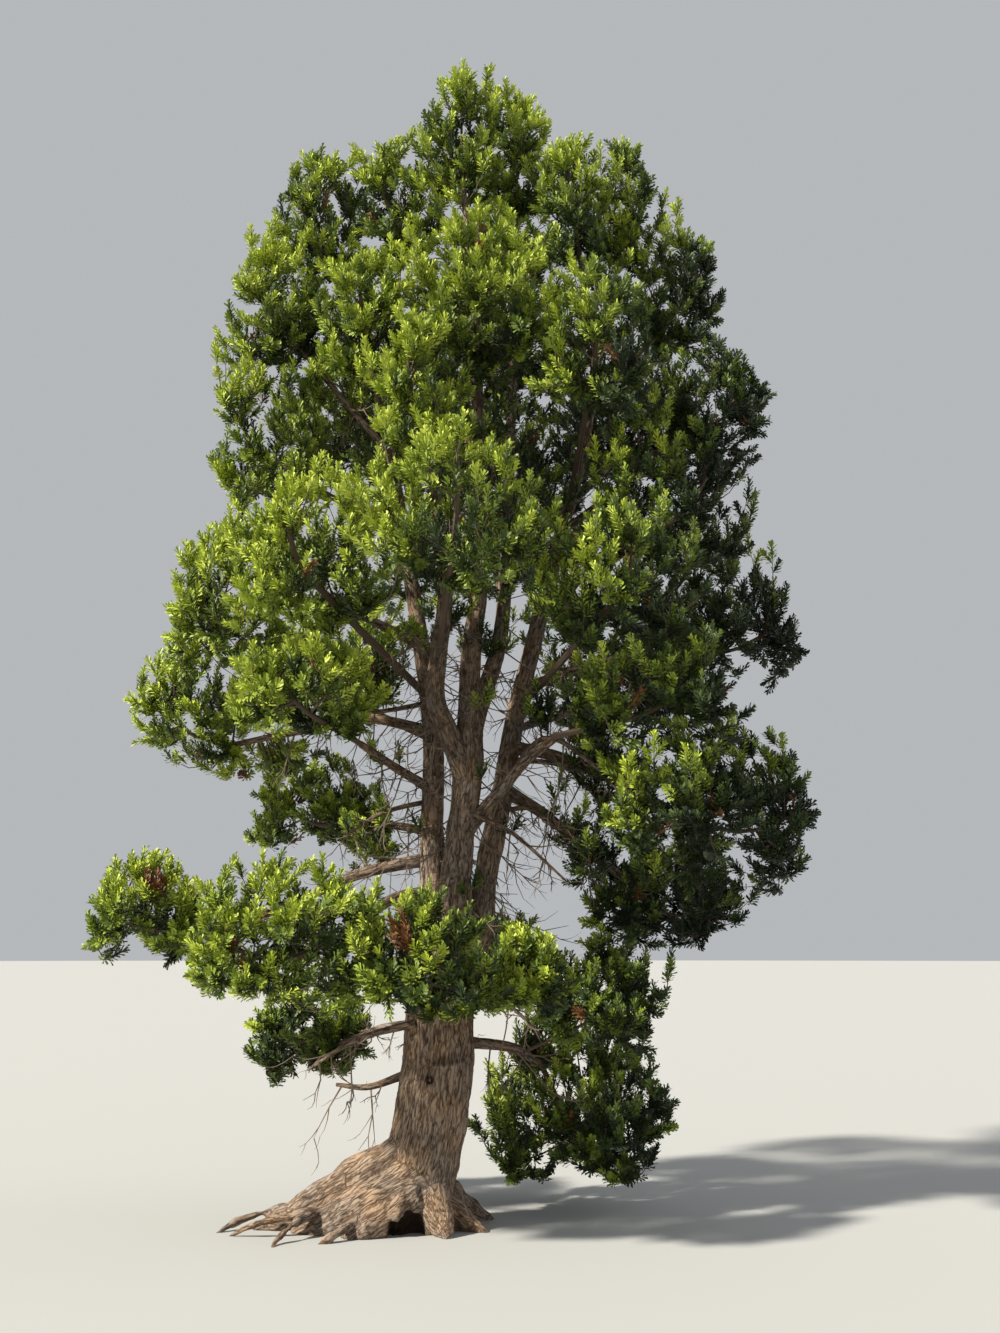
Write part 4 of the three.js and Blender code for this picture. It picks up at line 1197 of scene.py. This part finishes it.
DEAD_LIMBS = [
    [(0.41, -0.15, 4.4, 0.03), (0.88, -0.3, 4.18, 0.024), (1.46, -0.5, 3.65, 0.012)],
    [(-0.17, -0.28, 2.13, 0.045), (-0.79, -0.3, 1.96, 0.03), (-1.32, -0.2, 1.64, 0.014)],
    [(-0.3, 0.1, 1.56, 0.05), (-0.7, 0.15, 1.43, 0.035), (-1.06, 0.2, 1.45, 0.02)],
    [(0.4, -0.1, 6.45, 0.035), (0.42, -0.22, 6.75, 0.028), (0.37, -0.25, 7.1, 0.012)],
    [(0.05, -0.28, 5.75, 0.022), (-0.22, -0.3, 6.38, 0.014), (-0.28, -0.35, 6.54, 0.008)],
    [(0.3, -0.2, 2.5, 0.035), (0.8, -0.35, 2.35, 0.024), (1.2, -0.3, 2.0, 0.012)],
]
LONE_TUFTS = [  # the limb, the height where it leaves that, and its tip
    ("trunk", 5.5, (0.64, -0.32, 5.85)), ("trunk", 4.6, (0.62, -0.35, 4.95)),
    ("trunk", 3.4, (0.5, -0.42, 3.7)), ("left_leader", 4.2, (-0.3, 0.2, 4.45)),
    ("right_leader", 4.2, (1, 0.1, 4.4)),
]
TUFTS_ON_INNER = (0.55, 0.8, 1.0)  # where along an inner limb
THICKET_DROP = 0.3
# Leafy twigs that grow on the limbs inside the crown and between low masses: middle, half sizes, number
THICKETS = [
    ((1.95, 0.05, 5.15), (0.62, 0.8, 0.75), 60), ((1.75, 0.2, 4.1), (0.6, 0.8, 0.6), 45),
    ((-1.9, 1.1, 5.1), (0.8, 0.5, 0.4), 36), ((-0.8, 0.95, 4.15), (0.5, 0.5, 0.4), 24),
    ((1.1, 0.8, 1.85), (0.5, 0.5, 0.45), 30), ((0.45, -0.1, 6.6), (0.9, 0.6, 0.42), 40),
    ((-0.7, 0.1, 6.3), (0.4, 0.5, 0.35), 14), ((1.3, -0.1, 5.8), (0.35, 0.4, 0.35), 12),
]

# Bare dead twigs: on which limbs, from and to which share of their length, and how many
BARE_ON = {
    "trunk": (0.375, 0.69, 40), "left_leader": (0.12, 0.55, 30), "right_leader": (0.11, 0.55, 30),
    "inner_leader": (0.1, 0.4, 12), "front_leader": (0.2, 0.6, 12),
}
BARE_ON_BOUGH = (0.12, 0.85, 7)
BARE_ON_THIN = (0.2, 0.95, 6)
BARE_TWIG = (0.3, 0.95)
BARE_GIRTHS = np.array([0.012, 0.009, 0.006, 0.003])
BARE_HANG = 0.22
BARE_FORKS = (2, 5)
BARE_STEEP = 0.7  # on limbs steeper than this, dead twigs don't lean along the limb
BARE_LEAN, BARE_DROOP = 0.35, 0.45
FORK_SIZES = (0.5, 0.6)  # of the length and thickness of the twig that a fork is on


def bare_twig(found, foot, way, length, thin, dice, forks):
    """A dead twig that hangs and turns up again at its end, with smaller ones forking off it."""
    u = np.linspace(0, 1, len(BARE_GIRTHS))[:, None]
    bow = dice.uniform(-0.2, 0.2) * unit(np.cross(way, UP))
    points = foot + length * (u * way + np.sin(np.pi * u) * bow - BARE_HANG * np.sin(0.75 * np.pi * u) * UP)
    found.append((points, thin * BARE_GIRTHS))
    sizes = FORK_SIZES[0] * length, FORK_SIZES[1] * thin
    for _ in range(forks):
        share = dice.uniform(0.25, 0.9)
        at = points[0] + share * (points[-1] - points[0]) + (points[1] - points[0]) * 0.2 * (1 - share)
        at = points[np.argmin(np.linalg.norm(points - at, axis=1))]
        out = unit(way + 0.8 * unit(dice.normal(size=3)) - 0.15 * UP)
        bare_twig(found, at, out, *sizes, dice, forks // 3)


def bare_twigs_on(found, limb, first, last, number, dice):
    """Dead twigs all round a limb."""
    for k in range(number):
        t = np.array([first + (last - first) * (k + dice.uniform(0, 1)) / number])
        along = limb.tangent(t)
        e1, e2 = across(along)
        out = around(GOLDEN_ANGLE * k + dice.uniform(-0.5, 0.5), e1[0], e2[0])
        lean = BARE_LEAN if abs(along[0][2]) < BARE_STEEP else 0
        way = unit(out + lean * along[0] - dice.uniform(0, BARE_DROOP) * UP)
        length = dice.uniform(*BARE_TWIG) * (0.6 + 4 * limb.radius(t)[0])
        bare_twig(found, limb.point(t)[0], way, length, 1, dice, dice.integers(*BARE_FORKS))


CONE = (0.042, 0.027)  # half length and half width
CONE_RINGS, CONE_SIDES = 8, 9
CONES_ABOVE = 9.3  # masses with their middle above this height have cones
CONES_EACH = 2
BUMP = 0.13  # how far the scales of a cone stand out


def add_cone(heap, at, way):
    """An egg-shaped cone with scales in a diamond pattern."""
    first, second = (v[0] for v in across(way))
    share = np.linspace(0.03, 0.97, CONE_RINGS)[:, None]
    odd = np.arange(CONE_RINGS)[:, None] % 2
    turn = full_turn(CONE_SIDES)[None] + np.pi * odd / CONE_SIDES
    wave = 1 + BUMP * np.where(odd, 1, -1)
    wide = CONE[1] * np.sin(np.pi * share**0.85) * wave + 0.003
    rise = CONE[0] * (2 * share - 1) * np.ones_like(turn)
    points = at + rise[..., None] * way + wide[..., None] * around(turn, first, second)
    heap.add(points.reshape(-1, 3), tube_faces(CONE_RINGS, CONE_SIDES))


twig_heap = Heap()
all_sprigs = [Sprigs(mass) for mass in sorted(masses, key=lambda m: m.at[2])]
for sprigs in all_sprigs:
    t = np.linspace(0, 1, 9)
    stem = sprigs.clump.stem
    slim_tubes(twig_heap, stem.point(t)[None], stem.radius(t)[None], 6)
    for spray in sprigs.clump.sprays():
        grow_plume(sprigs, *spray)
all_sprigs += [grow_on_leader(name, FIRST_SEED + len(MASSES) + i) for i, name in enumerate(ON_LEADERS)]
inner_limbs = [Limb(rows) for rows in INNER_LIMBS]
inner = Sprigs(Clump((0.6, 0, 4.9), (1.8, 1, 1.2), FIRST_SEED + len(MASSES) + len(ON_LEADERS)))
for limb in inner_limbs:
    for t in TUFTS_ON_INNER:
        foot = limb.point(np.array([t - 0.06]))[0]
        aside = inner.dice.normal(0, 0.1, 3) * (t < 1)
        inner.tuft(foot, limb.point(np.array([t]))[0] + aside + 0.12 * UP)
for name, leaves, tip in LONE_TUFTS:
    inner.tuft(limbs[name].point(place_on(limbs[name], leaves)), np.array(tip))
all_sprigs.append(inner)
wood = np.vstack([limb.point(np.linspace(0.1, 1, 40)) for limb in [*limbs.values(), *inner_limbs]])
for number, (at, half, tufts) in enumerate(THICKETS, inner.clump.seed + 1):
    thicket = Sprigs(Clump(at, half, number))
    for _ in range(tufts):
        out = unit(thicket.dice.normal(size=3)) * thicket.dice.random()
        end = thicket.clump.at + thicket.clump.half * out
        thicket.tuft(foot_for(end, wood, THICKET_DROP), end)
    all_sprigs.append(thicket)
middles = np.vstack([sprigs.middles() for sprigs in all_sprigs])
for sprigs in all_sprigs[:len(MASSES)]:
    fill_mass(sprigs, [mass for mass in masses if mass is not sprigs.clump], middles)

needle_pieces = []
for sprigs in all_sprigs:
    slim_tubes(twig_heap, np.array(sprigs.twigs), np.array(sprigs.girths), 3)
    made = leafy(sprigs)
    if not needle_pieces or needle_pieces[-1][0].triangles + made.triangles > PIECE_LIMIT:
        needle_pieces.append((Heap(), []))
    heap, names = needle_pieces[-1]
    heap.add(np.vstack(made.points), np.vstack(made.faces), np.concatenate(made.looks))
    if isinstance(sprigs.clump, Mass):
        names.append(sprigs.clump.name)

for number, (heap, names) in enumerate(needle_pieces, 1):
    piece = object_from(f"needles_{number}", heap, greens)
    if names:
        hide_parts(*names)
    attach(piece, "root")
twigs = object_from("twigs", twig_heap, [twig_bark])
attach(twigs, "root")

thin, thin_heights, thin_grains = Heap(), [], []
dead_limbs = [Limb(rows) for rows in DEAD_LIMBS]
for number, limb in enumerate(inner_limbs + dead_limbs):
    bark_tube(thin, thin_heights, thin_grains, limb, 0, *THIN_RINGS, number + 71, False)
thin_values = {"relief": np.concatenate(thin_heights), "grain": np.concatenate(thin_grains)}
thin_piece = object_from("thin_limbs", thin, [limb_bark], True, thin_values)
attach(thin_piece, "root")

dice = np.random.default_rng(FIRST_SEED)
found = []
for name, (first, last, number) in BARE_ON.items():
    bare_twigs_on(found, limbs[name], first, last, number, dice)
for name in BOUGHS:
    bare_twigs_on(found, limbs[name], *BARE_ON_BOUGH, dice)
for limb in inner_limbs + dead_limbs:
    bare_twigs_on(found, limb, *BARE_ON_THIN, dice)
bare_heap = Heap()
slim_tubes(bare_heap, np.array([points for points, _ in found]), np.array([girths for _, girths in found]))
bare = object_from("dead_twigs", bare_heap, [dead_bark])
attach(bare, "root")

cone_heap = Heap()
for sprigs in all_sprigs[:len(MASSES)]:
    if sprigs.clump.at[2] > CONES_ABOVE:
        roots, ways, lengths = sprigs.all_shoots()
        highest = np.argsort(-roots[:, 2] - 0.3 * sprigs.clump.reach_in(roots))
        for k in highest[:6:6 // CONES_EACH]:
            aside = across(ways[k])[0][0]
            at = roots[k] + 0.6 * lengths[k] * ways[k] - 0.04 * aside
            add_cone(cone_heap, at, unit(ways[k] - 0.6 * aside))
cones = object_from("cones", cone_heap, [cone_scales])
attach(cones, "root")

# Floor, light and camera

FLOOR_REACH = 400
CAMERA_TILT = 11.88  # degrees up from level
bpy.ops.mesh.primitive_circle_add(vertices=96, radius=FLOOR_REACH, fill_type="NGON")
floor = bpy.context.object
floor.name = "floor"
floor.data.materials.append(plain_material("floor", (0.36, 0.36, 0.35), 0.9))

world = bpy.data.worlds.new("studio")
bpy.context.scene.world = world
world.use_nodes = True
world.node_tree.nodes["Background"].inputs["Color"].default_value = (0.93, 0.96, 1, 1)
world.node_tree.nodes["Background"].inputs["Strength"].default_value = 0.5
bpy.context.scene.view_settings.view_transform = "Standard"


def sun(name, towards, strength, softness, colour):
    light = bpy.data.lights.new(name, "SUN")
    light.energy, light.angle, light.color = strength, math.radians(softness), colour
    lamp = bpy.data.objects.new(name, light)
    lamp.rotation_euler = Vector(towards).to_track_quat("-Z", "Y").to_euler()
    bpy.context.scene.collection.objects.link(lamp)


sun("key", (0.84, 0.45, -0.74), 8.2, 4, (1, 0.95, 0.84))
sun("fill", (-0.8, -0.1, -0.35), 0.8, 40, (0.9, 0.95, 1))

lens = bpy.data.cameras.new("camera")
lens.sensor_width = 36
lens.lens = 36.46
lens.clip_end = 1000
camera = bpy.data.objects.new("camera", lens)
camera.location = (0.75, -15.35, 2.9)
camera.rotation_euler = (math.radians(90 + CAMERA_TILT), 0, 0)
bpy.context.scene.collection.objects.link(camera)
bpy.context.scene.camera = camera
